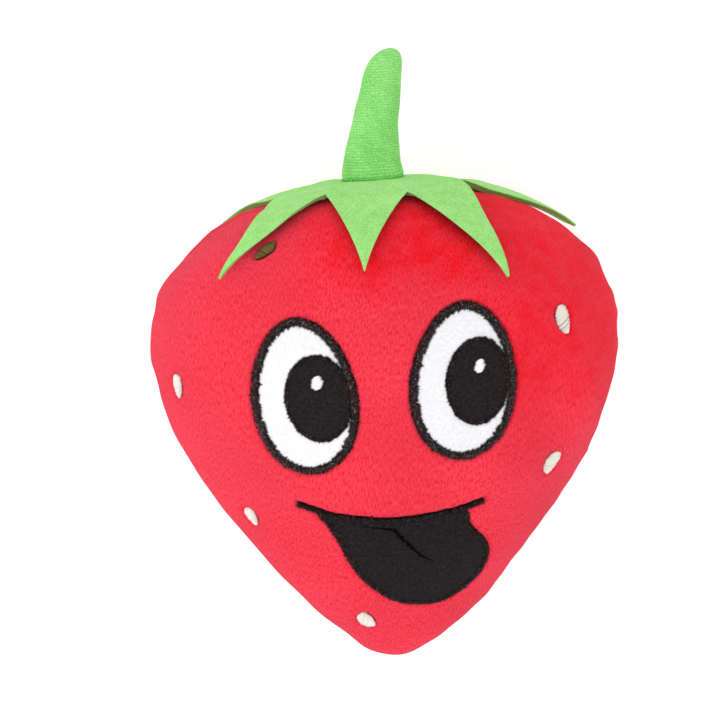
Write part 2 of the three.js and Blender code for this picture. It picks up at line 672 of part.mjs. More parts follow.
// The middle of the star is the part inside the seven fold lines, with a hole for the stalk's stuffing.
add('calyx_hub', thickSheet(LEAF_COUNT * HUB_STEPS, HUB_RINGS, (u, v, layer) => {
  const turn = 2 * Math.PI * u;
  const fromFold = (turn + LEAF_TURN / 2) % LEAF_TURN - LEAF_TURN / 2;
  const edge = (FOLD_REACH - FIT_GAP / 2) / Math.cos(fromFold);
  const reach = HOLE_RADIUS + (edge - HOLE_RADIUS) * v;
  const way = turn + FRONT_WAY;
  return draped(reach * Math.cos(way), reach * Math.sin(way), FELT_LOW + (layer === 0 ? FELT : 0));
}, { wrapU: true }), GREEN_FELT);

function leafPoint(number, u, v, layer) {
  const way = FRONT_WAY + number * LEAF_TURN;
  const tip = number === 0 ? FRONT_LEAF_REACH : LEAF_REACH;
  const root = FOLD_REACH + FIT_GAP / 2;
  const reach = root + (tip - root) * v;
  const half = (FOLD_HALF - FIT_GAP) * (1 - v) ** LEAF_TAPER_POWERS[number] + LEAF_POINT / 2 * v;
  const bow = LEAF_BOW * LEAF_BOW_SHARES[number] * Math.sin(Math.PI * v) ** 2;
  const aside = (2 * u - 1) * half + LEAF_SWEEP * LEAF_SWEEP_SHARES[number] * v + bow;
  const lift = FELT_LOW + LEAF_RISE * LEAF_RISE_SHARES[number] * v ** LEAF_RISE_POWER;
  return draped(
    reach * Math.cos(way) - aside * Math.sin(way),
    reach * Math.sin(way) + aside * Math.cos(way),
    lift + (layer === 0 ? FELT : 0),
  );
}

for (let number = 0; number < LEAF_COUNT; number++) {
  add(`leaf_${number + 1}`, thickSheet(
    LEAF_ACROSS, LEAF_ALONG, (u, v, layer) => leafPoint(number, u, v, layer),
  ), GREEN_FELT);
}

// Stalk: a bent, tapered tube of ribbed knit with a closed top, stuffed and stitched down to the felt

const HUB_TOP = WIDEST_Y + DOME_HEIGHT + FELT_LOW + FELT;
const STEM_BASE = HUB_TOP + FIT_GAP;

function stemMiddle(height) {
  const share = Math.max(height, 0) / STEM_LENGTH;
  return new THREE.Vector3(STAR_X + STEM_LEAN * share ** STEM_LEAN_POWER, STEM_BASE + height, SEAM_Z);
}

// The tube's outer radius below its rounded top.
function stemRadius(height) {
  const taper = STEM_LOW_RADIUS + (STEM_TOP_RADIUS - STEM_LOW_RADIUS) * height / STEM_LENGTH;
  const flare = Math.max(1 - height / STEM_FLARE_LENGTH, 0) ** 2;
  return taper + (STEM_BASE_RADIUS - STEM_LOW_RADIUS) * flare;
}

function ringPoint(middle, radius, u) {
  const turn = 2 * Math.PI * u;
  return middle.clone().add(new THREE.Vector3(radius * Math.cos(turn), 0, radius * Math.sin(turn)));
}

// A point of the tube, v from 0 at the middle of its top to 1 at its foot, drawn in by inset.
function stemPoint(u, v, inset, foot) {
  const cap = STEM_CAP_LENGTH - inset;
  const capFrom = STEM_LENGTH - STEM_CAP_LENGTH;
  if (v < STEM_CAP_SHARE) {
    const turn = Math.PI / 2 * v / STEM_CAP_SHARE;
    const height = capFrom + cap * Math.cos(turn);
    return ringPoint(stemMiddle(height), (stemRadius(capFrom) - inset) * Math.sin(turn), u);
  }
  const height = capFrom + (foot - capFrom) * (v - STEM_CAP_SHARE) / (1 - STEM_CAP_SHARE);
  return ringPoint(stemMiddle(height), stemRadius(height) - inset, u);
}

add('stem_cover', thickSheet(
  STEM_ACROSS, STEM_ALONG, (u, v, layer) => stemPoint(u, v, layer * STEM_WALL, 0), { wrapU: true },
), GREEN_KNIT);

// The stuffing ends below in a ball about the point that the stalk bends at, so it turns in its hole.
const pivotHeight = HUB_TOP + STEM_PIVOT_HEIGHT - STEM_BASE;
add('stem_filling', thickSheet(STEM_ACROSS, STEM_ALONG, (u, v, layer) => {
  if (layer === 1) return stemMiddle(pivotHeight);
  const inset = STEM_WALL + FIT_GAP;
  if (v < 1 - BALL_SHARE) {
    const spread = v / (1 - BALL_SHARE);
    const spot = stemPoint(u, spread, inset, pivotHeight);
    const height = spot.y - STEM_BASE;
    const most = BALL_RADIUS + (height - pivotHeight) * BALL_BLEND_SHARE;
    const middle = stemMiddle(height);
    return middle.clone().add(spot.sub(middle).clampLength(0, most));
  }
  const turn = Math.PI / 2 * (v - 1 + BALL_SHARE) / BALL_SHARE;
  const middle = stemMiddle(pivotHeight);
  middle.y -= BALL_RADIUS * Math.sin(turn);
  return ringPoint(middle, BALL_RADIUS * Math.cos(turn), u);
}, { wrapU: true }), WADDING);

// The turned-in hem lies inside the tube's foot, around the ball of stuffing.
const hemTop = HUB_TOP + FIT_GAP + HEM_HEIGHT;
const hemInner = Math.sqrt(BALL_RADIUS ** 2 - (HUB_TOP + STEM_PIVOT_HEIGHT - hemTop) ** 2) + FIT_GAP;
add('stem_hem', thickSheet(STEM_ACROSS, 1, (u, v, layer) => {
  const middle = stemMiddle(0);
  middle.y = HUB_TOP + FIT_GAP + HEM_HEIGHT * v;
  return ringPoint(middle, hemInner + (layer === 0 ? HEM_WALL : 0), u);
}, { wrapU: true }), GREEN_KNIT);

const stitchInner = STEM_BASE_RADIUS + FIT_GAP;
add('stem_base_stitch', thickSheet(2, STEM_ACROSS, (u, v, layer) => {
  const turn = 2 * Math.PI * v;
  const reach = stitchInner + STEM_STITCH * u;
  const crown = u === 1 / 2 ? STITCH_RISE : STITCH_RISE * STITCH_EDGE_SHARE;
  const lift = FELT_LOW + FELT + FIT_GAP + (layer === 0 ? crown : 0);
  return draped(reach * Math.cos(turn), reach * Math.sin(turn), lift);
}, { wrapV: true }), GREEN_KNIT);

// Closing stitches: where the filling went in, the side seam is whipped shut by hand

function sidePoint(y, away) {
  const side = away < 0 ? BACK : FACE;
  const n = power(side);
  const share = Math.min(Math.abs(away) / depth(side, y), 1);
  return new THREE.Vector3(halfWidth(y) * (1 - share ** n) ** (1 / n), y, SEAM_Z + away);
}

function closingPath(v) {
  const top = WIDEST_Y - CONE_LENGTH * CLOSING_START_SHARE;
  const y = top - CLOSING_LENGTH * v;
  const spot = sidePoint(y, CLOSING_REACH * Math.sin(Math.PI * CLOSING_STITCHES * v));
  const down = sidePoint(y - PROBE, 0).sub(sidePoint(y, 0)).normalize();
  const out = new THREE.Vector3(-down.y, down.x, 0);
  return { spot: spot.addScaledVector(out, FIT_GAP + THREAD / 2), out };
}

add('closing_stitches', thickSheet(THREAD_SIDES, CLOSING_STITCHES * THREAD_STEPS, (u, v, layer) => {
  const { spot, out } = closingPath(v);
  if (layer === 1) return spot;
  const ahead = closingPath(Math.min(v + PATH_STEP_SHARE, 1)).spot;
  const along = ahead.sub(closingPath(Math.max(v - PATH_STEP_SHARE, 0)).spot).normalize();
  const aside = out.clone().cross(along).normalize();
  const turn = 2 * Math.PI * u;
  spot.addScaledVector(out, THREAD / 2 * Math.cos(turn));
  return spot.addScaledVector(aside, THREAD / 2 * Math.sin(turn));
}, { wrapU: true }), RED_THREAD);

export default toy;
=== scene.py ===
# A stuffed plush strawberry toy for dogs, lying on its back, in metres.
# +Z points out of the face, +Y runs towards the stalk, and z is 0 on the flat of the back.
import json
import math

import bmesh
import bpy
import numpy as np
from mathutils import Matrix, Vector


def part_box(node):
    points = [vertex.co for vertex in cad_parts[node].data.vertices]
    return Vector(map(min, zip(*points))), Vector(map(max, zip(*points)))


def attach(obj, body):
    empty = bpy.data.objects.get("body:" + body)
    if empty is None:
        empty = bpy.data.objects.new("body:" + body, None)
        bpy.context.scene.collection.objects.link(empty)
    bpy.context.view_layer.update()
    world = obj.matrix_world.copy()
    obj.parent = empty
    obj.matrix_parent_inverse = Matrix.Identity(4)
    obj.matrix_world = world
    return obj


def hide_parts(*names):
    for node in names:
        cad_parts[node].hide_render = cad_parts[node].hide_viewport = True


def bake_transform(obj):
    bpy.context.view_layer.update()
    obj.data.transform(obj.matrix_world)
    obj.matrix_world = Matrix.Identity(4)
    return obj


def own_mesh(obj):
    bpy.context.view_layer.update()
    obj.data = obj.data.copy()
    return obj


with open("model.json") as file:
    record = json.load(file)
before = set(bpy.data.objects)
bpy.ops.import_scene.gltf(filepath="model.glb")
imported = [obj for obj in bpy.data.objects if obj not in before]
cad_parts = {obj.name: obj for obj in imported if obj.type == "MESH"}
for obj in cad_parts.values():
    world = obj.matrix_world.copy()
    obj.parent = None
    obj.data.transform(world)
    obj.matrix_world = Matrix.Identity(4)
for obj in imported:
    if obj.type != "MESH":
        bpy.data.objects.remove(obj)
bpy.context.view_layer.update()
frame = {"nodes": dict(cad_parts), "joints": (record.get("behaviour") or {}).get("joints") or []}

# Camera
# The photograph looks almost straight down at the face, tipped a little towards the stalk and turned
# a little about its own axis. It is taken from about a metre away.
MM = 0.001
PHOTO_SIZE = 720
PIXEL = 0.2805 * MM
SEAM_PIXEL = (385, 400)
CAMERA_DISTANCE = 1.1
CAMERA_NEAREST = 0.01
CAMERA_FARTHEST = 20
CAMERA_TIP = math.radians(8)
CAMERA_ROLL = math.radians(2.75)
SENSOR = 36

front_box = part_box("front_panel")
back_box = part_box("back_panel")
SEAM_Z = (front_box[0][2] + back_box[1][2]) / 2
SEAM_POINT = np.array([-0.7 * MM, -4 * MM, SEAM_Z])


def place_camera():
    """The seam point shows at its pixel: the camera's axis passes as far beside it as that pixel lies
    from the middle of the photograph, measured in the camera's own turned axes."""
    right = np.array([1.0, 0.0, 0.0])
    up = np.array([0.0, math.cos(CAMERA_TIP), -math.sin(CAMERA_TIP)])
    back = np.array([0.0, math.sin(CAMERA_TIP), math.cos(CAMERA_TIP)])
    turn, lean = math.cos(CAMERA_ROLL), math.sin(CAMERA_ROLL)
    camera_right = turn * right - lean * up
    camera_up = lean * right + turn * up
    across = (PHOTO_SIZE / 2 - SEAM_PIXEL[0]) * PIXEL
    upward = (SEAM_PIXEL[1] - PHOTO_SIZE / 2) * PIXEL
    spot = SEAM_POINT + camera_right * across + camera_up * upward + back * CAMERA_DISTANCE
    data = bpy.data.cameras.new("camera")
    data.sensor_width = SENSOR
    data.lens = SENSOR * CAMERA_DISTANCE / (PHOTO_SIZE * PIXEL)
    data.clip_start = CAMERA_NEAREST
    data.clip_end = CAMERA_FARTHEST
    camera = bpy.data.objects.new("camera", data)
    axes = np.eye(4)
    axes[:3, 0], axes[:3, 1], axes[:3, 2], axes[:3, 3] = camera_right, camera_up, back, spot
    camera.matrix_world = Matrix(axes.tolist())
    bpy.context.scene.collection.objects.link(camera)
    bpy.context.scene.camera = camera


place_camera()
bpy.context.scene.view_settings.view_transform = "Standard"


# Light and floor
# A white studio sweep: broad soft light from all round, a little more from the left and the foot of the
# picture, and a white floor that keeps a faint shadow.
ROOM_LIGHT = 1.05
LAMP_PLACE = (-0.82, -0.3, 0.95)
LAMP_SIZE = 1.0
LAMP_WATTS = 3.05
FLOOR_HALF = 3.0
FLOOR_Z = -0.1 * MM
FLOOR_GLOW = 0.4
TINY = 1e-9


def srgb(code):
    """A hex colour as linear red, green, blue and alpha: each channel is c / 12.92 below 0.04045, and
    ((c + 0.055) / 1.055) to the power 2.4 above."""
    channels = np.array([int(code[i:i + 2], 16) for i in (1, 3, 5)]) / 255
    linear = np.where(channels <= 0.04045, channels / 12.92, ((channels + 0.055) / 1.055) ** 2.4)
    return (*linear.tolist(), 1.0)


def new_material(name):
    """An empty material and its node tree."""
    made = bpy.data.materials.new(name)
    made.use_nodes = True
    made.node_tree.nodes.clear()
    return made, made.node_tree


def node(tree, kind, settings=None, links=None):
    """Adds a shader node with its settings, and links its inputs: a tuple (node, output) is a link,
    anything else is the socket's own value."""
    made = tree.nodes.new(kind)
    for name, value in (settings or {}).items():
        setattr(made, name, value)
    for name, value in (links or {}).items():
        if isinstance(value, tuple) and hasattr(value[0], "outputs"):
            tree.links.new(value[0].outputs[value[1]], made.inputs[name])
        else:
            made.inputs[name].default_value = value
    return made


def straight_rays(tree):
    """1 for rays from the camera, from a gloss and through glass, 0 for the light that falls on the toy."""
    path = node(tree, "ShaderNodeLightPath")
    gloss = node(tree, "ShaderNodeMath", {"operation": "MAXIMUM"}, {
        0: (path, "Is Glossy Ray"), 1: (path, "Is Transmission Ray")})
    return node(tree, "ShaderNodeMath", {"operation": "MAXIMUM"}, {0: (path, "Is Camera Ray"), 1: (gloss, 0)})


def unit(vectors):
    """The vectors at length 1."""
    return vectors / np.maximum(np.linalg.norm(vectors, axis=-1, keepdims=True), TINY)


def look_axes(aim):
    """Rows of the turn that points an object's -Z along aim, with its X level."""
    back = unit(-aim)
    right = unit(np.cross([0.0, 0.0, 1.0], back))
    return np.stack([right, np.cross(back, right), back], axis=1).tolist()


def light_studio():
    """The room sheds plain white light, a little more of it than straight rays see, and one large lamp
    hangs to the left, beyond the foot of the toy."""
    world = bpy.data.worlds.new("studio")
    bpy.context.scene.world = world
    world.use_nodes = True
    tree = world.node_tree
    tree.nodes.clear()
    shown = straight_rays(tree)
    room = node(tree, "ShaderNodeBackground", links={"Color": srgb("#ffffff"), "Strength": ROOM_LIGHT})
    seen = node(tree, "ShaderNodeBackground", links={"Color": srgb("#ffffff"), "Strength": 1.0})
    mixed = node(tree, "ShaderNodeMixShader", links={0: (shown, 0), 1: (room, 0), 2: (seen, 0)})
    node(tree, "ShaderNodeOutputWorld", links={"Surface": (mixed, 0)})

    lamp = bpy.data.lights.new("softbox", "AREA")
    lamp.shape = "DISK"
    lamp.size = LAMP_SIZE
    lamp.energy = LAMP_WATTS
    holder = bpy.data.objects.new("softbox", lamp)
    holder.location = LAMP_PLACE
    holder.rotation_euler = Matrix(look_axes(-np.array(holder.location))).to_euler()
    bpy.context.scene.collection.objects.link(holder)


def lay_floor():
    """A square of white paper. It glows a little for straight rays alone, so it looks white outside the
    toy's shadow."""
    half = FLOOR_HALF
    data = bpy.data.meshes.new("floor")
    data.from_pydata([(-half, -half, FLOOR_Z), (half, -half, FLOOR_Z), (half, half, FLOOR_Z),
                      (-half, half, FLOOR_Z)], [], [(0, 1, 2, 3)])
    floor = bpy.data.objects.new("floor", data)
    paper, tree = new_material("white_paper")
    shown = straight_rays(tree)
    matt = node(tree, "ShaderNodeBsdfDiffuse", links={"Color": srgb("#f2f2f2")})
    strength = node(tree, "ShaderNodeMath", {"operation": "MULTIPLY"}, {0: (shown, 0), 1: FLOOR_GLOW})
    glow = node(tree, "ShaderNodeEmission", links={"Color": srgb("#ffffff"), "Strength": (strength, 0)})
    both = node(tree, "ShaderNodeAddShader", links={0: (matt, 0), 1: (glow, 0)})
    node(tree, "ShaderNodeOutputMaterial", links={"Surface": (both, 0)})
    data.materials.append(paper)
    bpy.context.scene.collection.objects.link(floor)


light_studio()
lay_floor()


# Plush body
# Two panels of red minky plush, cut to a leaf shape, sewn together round the sides, turned and stuffed
# tight. Short polyester pile stands on a knitted back, and the seam draws in and puckers.
FACE, BACK = 1, -1
WIDEST_Y = 13.4 * MM
HALF_WIDTH = front_box[1][0]
DOME_HEIGHT = front_box[1][1] - WIDEST_Y
CONE_LENGTH = WIDEST_Y - front_box[0][1]
SEAM_GAP = front_box[0][2] - back_box[1][2]
FACE_DEPTH = front_box[1][2] - front_box[0][2]
BACK_DEPTH = 45 * MM
DOME_POWER = 2.18
CONE_POWER = 1.75
CONE_STRAIGHT = 2.01
CONE_TIP_POWER = 2.07
POINT_ASIDE = 2.3 * MM
POINT_POWER = 16
DEPTH_POWER = 0.85
ROUND_POWER = {FACE: 2.0, BACK: 2.2}
BACK_LEAN = 0.33
PLUSH = 2.2 * MM
STAR_X = -1.6 * MM
STAR_CALM = 14 * MM
LUMP_HEIGHT = 0.35 * MM
LUMP_SIZE = 35 * MM
LUMPS_START = 2 * MM
LUMPS_FADE = 12 * MM
FACE_RISE = 0.6 * MM
FACE_RISE_REACH = 12 * MM
SLOPE_PROBE = 0.05 * MM


def half_width(y, inset=0.0):
    """Half width at height y: a rounded dome above the widest line, 1 - share^2.18, and below it a
    straight-sided cone with a blunt point, 1 - (2.01 share^1.75 - 1.01 share^3)."""
    above = np.clip((y - WIDEST_Y) / (DOME_HEIGHT - inset), 0, 1)
    below = np.clip((WIDEST_Y - y) / (CONE_LENGTH - inset), 0, 1)
    dome = (1 - above ** DOME_POWER) ** (1 / DOME_POWER)
    taper = CONE_STRAIGHT * below ** CONE_POWER - (CONE_STRAIGHT - 1) * below ** 3
    cone = np.clip(1 - taper, 0, 1) ** (1 / CONE_TIP_POWER)
    return (HALF_WIDTH - inset) * np.where(y > WIDEST_Y, dome, cone)


def point_lean(y):
    """The blunt point lies to the left: by 2.3 mm times the share of the cone's length to the power 16."""
    return -POINT_ASIDE * np.clip((WIDEST_Y - y) / CONE_LENGTH, 0, 1) ** POINT_POWER


def half_depth(side, y, inset=0.0):
    """Depth from the seam to the fullest line, the width's share to the power 0.85, the back fuller
    towards the point."""
    share = (half_width(y, inset) / (HALF_WIDTH - inset)) ** DEPTH_POWER
    lean = np.where(side > 0, 1, 1 - BACK_LEAN * y / CONE_LENGTH)
    return (np.where(side > 0, FACE_DEPTH, BACK_DEPTH) - inset) * share * lean


def row_height(v, inset=0.0):
    """Height of a row, v from 0 at the top to 1 at the point, rows closest at both ends."""
    turn = np.pi * v
    dome = WIDEST_Y + (DOME_HEIGHT - inset) * np.clip(np.cos(turn), 0, 1) ** (2 / DOME_POWER)
    cone = WIDEST_Y + (CONE_LENGTH - inset) * np.cos(turn)
    return np.where(turn < np.pi / 2, dome, cone)


def body_point(side, u, v, inset=0.0):
    """A superellipse section at each height, u from 0 at the right seam to 1 at the left seam."""
    y = row_height(v, inset)
    turn, shape = np.pi * u, 2 / ROUND_POWER[side]
    x = point_lean(y) + half_width(y, inset) * np.sign(np.cos(turn)) * np.abs(np.cos(turn)) ** shape
    z = half_depth(side, y, inset) * np.abs(np.sin(turn)) ** shape
    return np.stack([x, y, SEAM_Z + side * (z + SEAM_GAP / 2)], axis=-1)


def bulge(side, x, y):
    """Height of the body over (x, y), square to the seam plane: the superellipse
    depth (1 - (distance aside / half width)^power)^(1 / power)."""
    power = ROUND_POWER[side]
    share = np.clip(np.abs(x - point_lean(y)) / np.maximum(half_width(y), TINY), 0, 1)
    return half_depth(side, y) * (1 - share ** power) ** (1 / power)


def on_body(side, x, y, lift=0.0):
    """The place of the smooth body over (x, y), raised by lift along the surface's normal, which comes
    from the slopes of the bulge. The lumps of the plush are added as the plush has them."""
    probe = SLOPE_PROBE
    slope_x = (bulge(side, x + probe, y) - bulge(side, x - probe, y)) / (2 * probe)
    slope_y = (bulge(side, x, y + probe) - bulge(side, x, y - probe)) / (2 * probe)
    length = np.sqrt(slope_x ** 2 + slope_y ** 2 + 1)
    height = bulge(side, x, y) + SEAM_GAP / 2
    flat = np.stack([x, y, SEAM_Z + side * height], axis=-1)
    lift = lift + plush_lumps(flat)
    out = np.stack([-slope_x / length, -slope_y / length, side / length], axis=-1)
    return flat + out * np.asarray(lift)[..., None]


def waves(points, size, seed, count=8):
    """Smooth noise, mostly from -1 to 1: sine waves of about one length, in seeded random directions and
    phases, summed and divided by the root of their count."""
    draw = np.random.default_rng(seed)
    aim = unit(draw.normal(size=(count, 3)))
    aim *= 2 * np.pi / (size * draw.uniform(0.7, 1.4, (count, 1)))
    phase = draw.uniform(0, 2 * np.pi, count)
    total = np.zeros(points.shape[:-1])
    for turn, start in zip(aim, phase):
        total += np.sin(points @ turn + start)
    return total / math.sqrt(count)


def near_stalk(points):
    """1 beneath the stalk, where the felt holds the plush flat, fading to 0 some 25 mm away."""
    away = np.linalg.norm(points - np.array([STAR_X, WIDEST_Y + DOME_HEIGHT, SEAM_Z]), axis=-1)
    return np.exp(-(away / STAR_CALM) ** 2)


def plush_lumps(points):
    """How far the plush stands off the smooth body: gentle lumps of the stuffing, 0.35 mm high and about
    35 mm apart, and on the face 0.6 mm more, rising from the side seam. Nothing where the back is flat."""
    free = np.clip((points[..., 2] - LUMPS_START) / LUMPS_FADE, 0, 1) * (1 - near_stalk(points))
    away = np.maximum(points[..., 2] - SEAM_Z, 0)
    rise = FACE_RISE * (1 - np.exp(-(away / FACE_RISE_REACH) ** 2)) * (1 - near_stalk(points))
    return LUMP_HEIGHT * free * waves(points, LUMP_SIZE, seed=4, count=12) + rise


GROOVE_DEPTH = 1.0 * MM
GROOVE_REACH = 1.4 * MM
PUCKER_HEIGHT = 0.28 * MM
PUCKER_SIZE = 10 * MM
PUCKER_REACH = 8 * MM
TUCK_NARROWEST = 0.6
TUCK_SPREAD = 9 * MM
# Places where the seam draws in, or with a negative depth stands out, as (side of the body, height,
# depth, half length) along the seam.
SEAM_TUCKS = [
    (-1, 42 * MM, 1.0 * MM, 4.5 * MM), (-1, 35.6 * MM, 1.1 * MM, 5 * MM), (-1, 25 * MM, 0.9 * MM, 4 * MM),
    (-1, 18.5 * MM, 0.7 * MM, 4 * MM), (-1, 5.5 * MM, 0.9 * MM, 3.5 * MM), (-1, -21 * MM, 0.6 * MM, 5 * MM),
    (-1, -46 * MM, 0.9 * MM, 11 * MM), (1, 28.5 * MM, 0.9 * MM, 4 * MM), (1, 20.8 * MM, 0.6 * MM, 2.5 * MM),
    (1, 14 * MM, 1.0 * MM, 3.5 * MM), (1, 2 * MM, 0.6 * MM, 4 * MM), (1, -20 * MM, -0.7 * MM, 9 * MM),
    (1, -50 * MM, 0.5 * MM, 5 * MM), (1, 48 * MM, -0.8 * MM, 6 * MM),
]


def seam_relief(points):
    """The seam's groove and its puckers: a groove 1 mm deep times exp(-(distance / 1.4 mm)^1.5), and
    ripples 10 mm apart along the seam times exp(-(distance / 8 mm)^2), with deeper tucks at the places
    above, each a bell curve that grows wider away from the seam."""
    away = np.abs(points[..., 2] - SEAM_Z)
    groove = -GROOVE_DEPTH * np.exp(-(away / GROOVE_REACH) ** 1.5)
    along = np.stack([points[..., 0], points[..., 1], np.zeros(points.shape[:-1])], axis=-1)
    near = np.exp(-(away / PUCKER_REACH) ** 2)
    ripples = PUCKER_HEIGHT * near * waves(along, PUCKER_SIZE, seed=11)
    tucks = np.zeros(points.shape[:-1])
    for side, y, deep, half in SEAM_TUCKS:
        beside = np.sign(points[..., 0]) == side
        spread = half * (TUCK_NARROWEST + away / TUCK_SPREAD)
        tucks -= np.where(beside, deep * np.exp(-((points[..., 1] - y) / spread) ** 2), 0) * near
    return groove + (ripples + tucks) * (1 - near_stalk(points))


# Face layout
# The face is embroidered before the panels are sewn together. Its outlines are kept here, because the
# pile is stitched flat under them.
EYE_WIDTH = 28.5 * MM
EYE_HEIGHT = 43.0 * MM
EYE_BORDER = 2.2 * MM
EYE_EGG = -0.075
PUPIL_WIDTH = 17.4 * MM
PUPIL_HEIGHT = 24.2 * MM
PUPIL_BORDER = 1.7 * MM
GLINT_WIDTHS = {"left": 3.0 * MM, "right": 2.5 * MM}
GLINT_HEIGHT = 3.7 * MM
EYES = {
    "left": {"place": (-0.342, -0.1), "tilt": 4.2,
             "pupil": (0.27, -0.01), "wide": 1.06, "glint": (-0.02, 0.37)},
    "right": {"place": (0.306, -0.074), "tilt": -4.2,
              "pupil": (0.27, 0.0), "wide": 1.0, "glint": (0.06, 0.36)},
}
MOUTH_WIDTH = 50.7 * MM
TONGUE_DROP = 31.4 * MM
MOUTH_MIDDLE = np.array([-0.01 * HALF_WIDTH, WIDEST_Y - 0.447 * CONE_LENGTH])
MOUTH_STEPS = 12
SMILE_THIN = 0.5 * MM
SMILE = [(-1, 0.027), (-0.8, -0.037), (-0.586, -0.1), (-0.116, -0.151), (0.18, -0.145), (0.475, -0.122),
         (0.744, -0.084), (1, -0.027)]
TONGUE = [(-0.8, -0.06), (-0.68, -0.19), (-0.57, -0.36), (-0.475, -0.54), (-0.35, -0.71), (-0.17, -0.86),
          (0.04, -0.965), (0.25, -1.0), (0.46, -1.0), (0.67, -0.936), (0.88, -0.809), (1.0, -0.66),
          (1.03, -0.52), (0.99, -0.41), (0.915, -0.33), (0.83, -0.22), (0.8, -0.11)]
UPPER_LIP = [(0.5, -0.13), (0.18, -0.15), (-0.116, -0.155), (-0.45, -0.12), (-0.7, -0.06)]
# The tongue's crease as shares of the mouth; its first, level stretch under the smile is painted shadow of
# the smile band.
CREASE_AND_SMILE_SHADOW = [(-0.353, -0.19), (-0.116, -0.22), (0.014, -0.24), (0.112, -0.33), (0.211, -0.42), (0.314, -0.51),
          (0.46, -0.575)]
SEED_LENGTH = 8 * MM
SEED_WIDTH = 4.9 * MM
SEED_POINT = 0.3
SEED_OUTLINE_POINTS = 31
# Each seed as (across, up, turn in degrees, share of the length, share of the width).
SEEDS = {
    FACE: [(0.73, 0.168, 16, 1, 1), (0.661, -0.365, -11, 0.86, 1.08),
           (-0.866, -0.08, 5, 0.85, 0.82), (-0.594, -0.499, 12, 0.76, 0.98),
           (-0.135, -0.856, 51, 0.72, 1.12), (-0.475, 0.682, -33, 0.88, 0.76)],
    BACK: [(0.62, 0.33, -15, 1, 0.95), (-0.4, 0.25, 10, 0.95, 1),
           (0.1, -0.42, 5, 0.9, 0.9), (-0.66, -0.27, -10, 0.85, 1),
           (0.52, -0.5, 15, 0.8, 0.95), (-0.16, -0.8, -20, 0.75, 1)],
}
STITCH_SINK = 1.1 * MM
STITCH_EDGE = 1.1 * MM
STITCH_PULL = 0.3 * MM


def turned(spots, degrees):
    """Spots turned about the origin."""
    c, s = math.cos(math.radians(degrees)), math.sin(math.radians(degrees))
    return spots @ np.array([[c, s], [-s, c]])


def egg(width, height, tilt, egg_share=0.0, count=240):
    """An ellipse turned by tilt, its half width times 1 + egg_share sin(angle)."""
    angle = np.linspace(0, 2 * np.pi, count, endpoint=False)
    lean = 1 + egg_share * np.sin(angle)
    return turned(np.stack([width / 2 * np.cos(angle) * lean, height / 2 * np.sin(angle)], axis=-1), tilt)


def smooth_curve(spots, closed=False, count=40):
    """A curve through the spots: between each two it is the cubic whose slopes are half the step between
    the neighbours on either side."""
    spots = np.asarray(spots, float)
    before, after = np.roll(spots, 1, axis=0), np.roll(spots, -1, axis=0)
    if not closed:
        before[0], after[-1] = 2 * spots[0] - spots[1], 2 * spots[-1] - spots[-2]
    slope = (after - before) / 2
    stretches = len(spots) if closed else len(spots) - 1
    t = np.linspace(0, 1, count, endpoint=False)[:, None]
    a, b = 2 * t ** 3 - 3 * t ** 2 + 1, t ** 3 - 2 * t ** 2 + t
    c, d = 3 * t ** 2 - 2 * t ** 3, t ** 3 - t ** 2
    pieces = []
    for i in range(stretches):
        j = (i + 1) % len(spots)
        pieces.append(a * spots[i] + b * slope[i] + c * spots[j] + d * slope[j])
    if not closed:
        pieces.append(spots[-1:])
    return np.concatenate(pieces)


def even(path, count, closed=False):
    """The path with its points set at even distances."""
    if closed:
        path = np.concatenate([path, path[:1]])
    steps = np.linalg.norm(np.diff(path, axis=0), axis=1)
    gone = np.concatenate([[0], np.cumsum(steps)])
    wanted = np.linspace(0, gone[-1], count, endpoint=not closed)
    return np.stack([np.interp(wanted, gone, path[:, i]) for i in range(path.shape[1])], axis=-1)


def distance_outside(spots, outline):
    """Distance from each spot to a closed outline, negative inside: the least distance to its straight
    steps, and the sign from how often a line to the right crosses it."""
    least = np.full(len(spots), np.inf)
    crossings = np.zeros(len(spots), int)
    x, y = spots[:, 0], spots[:, 1]
    for start, end in zip(outline, np.roll(outline, -1, axis=0)):
        step = end - start
        share = np.clip(((spots - start) @ step) / max(step @ step, TINY ** 2), 0, 1)
        gap = spots - (start + share[:, None] * step)
        least = np.minimum(least, (gap ** 2).sum(axis=1))
        if start[1] != end[1]:
            spans = (start[1] > y) != (end[1] > y)
            crossings += spans & (x < start[0] + (y - start[1]) / (end[1] - start[1]) * step[0])
    return np.where(crossings % 2 == 1, -1, 1) * np.sqrt(least)


def on_face(share):
    """A place given as shares of the half width and of the dome's height or the cone's length."""
    x, y = share
    return np.array([x * HALF_WIDTH, WIDEST_Y + y * (DOME_HEIGHT if y > 0 else CONE_LENGTH)])


def on_mouth(shares):
    """Places given as shares of the mouth's half width and of the tongue's drop, from the mouth's middle."""
    return MOUTH_MIDDLE + np.array(shares) * np.array([MOUTH_WIDTH / 2, TONGUE_DROP])


def seed_half(share, point):
    """Half width along a seed, share from -1 at its lower end to 1, of its greatest half width. It is
    (1 - |share|^(3 - point))^(0.5 + point), times 1 + 0.9 point share: narrower towards its lower end."""
    return np.maximum(1 - np.abs(share) ** (3 - point), 0) ** (0.5 + point) * (1 + 0.9 * point * share)


def slope_frame(side, centre):
    """Rows are one length to the right and one upwards along the body's surface, seen from the front."""
    probe = 0.2 * MM
    here, right, up = (on_body(side, centre[:1] + a, centre[1:] + b)[0]
                       for a, b in ((0, 0), (probe, 0), (0, probe)))
    right = unit(right - here)
    up = up - here
    up = unit(up - right * (up @ right))
    return np.stack([right[:2], up[:2]])


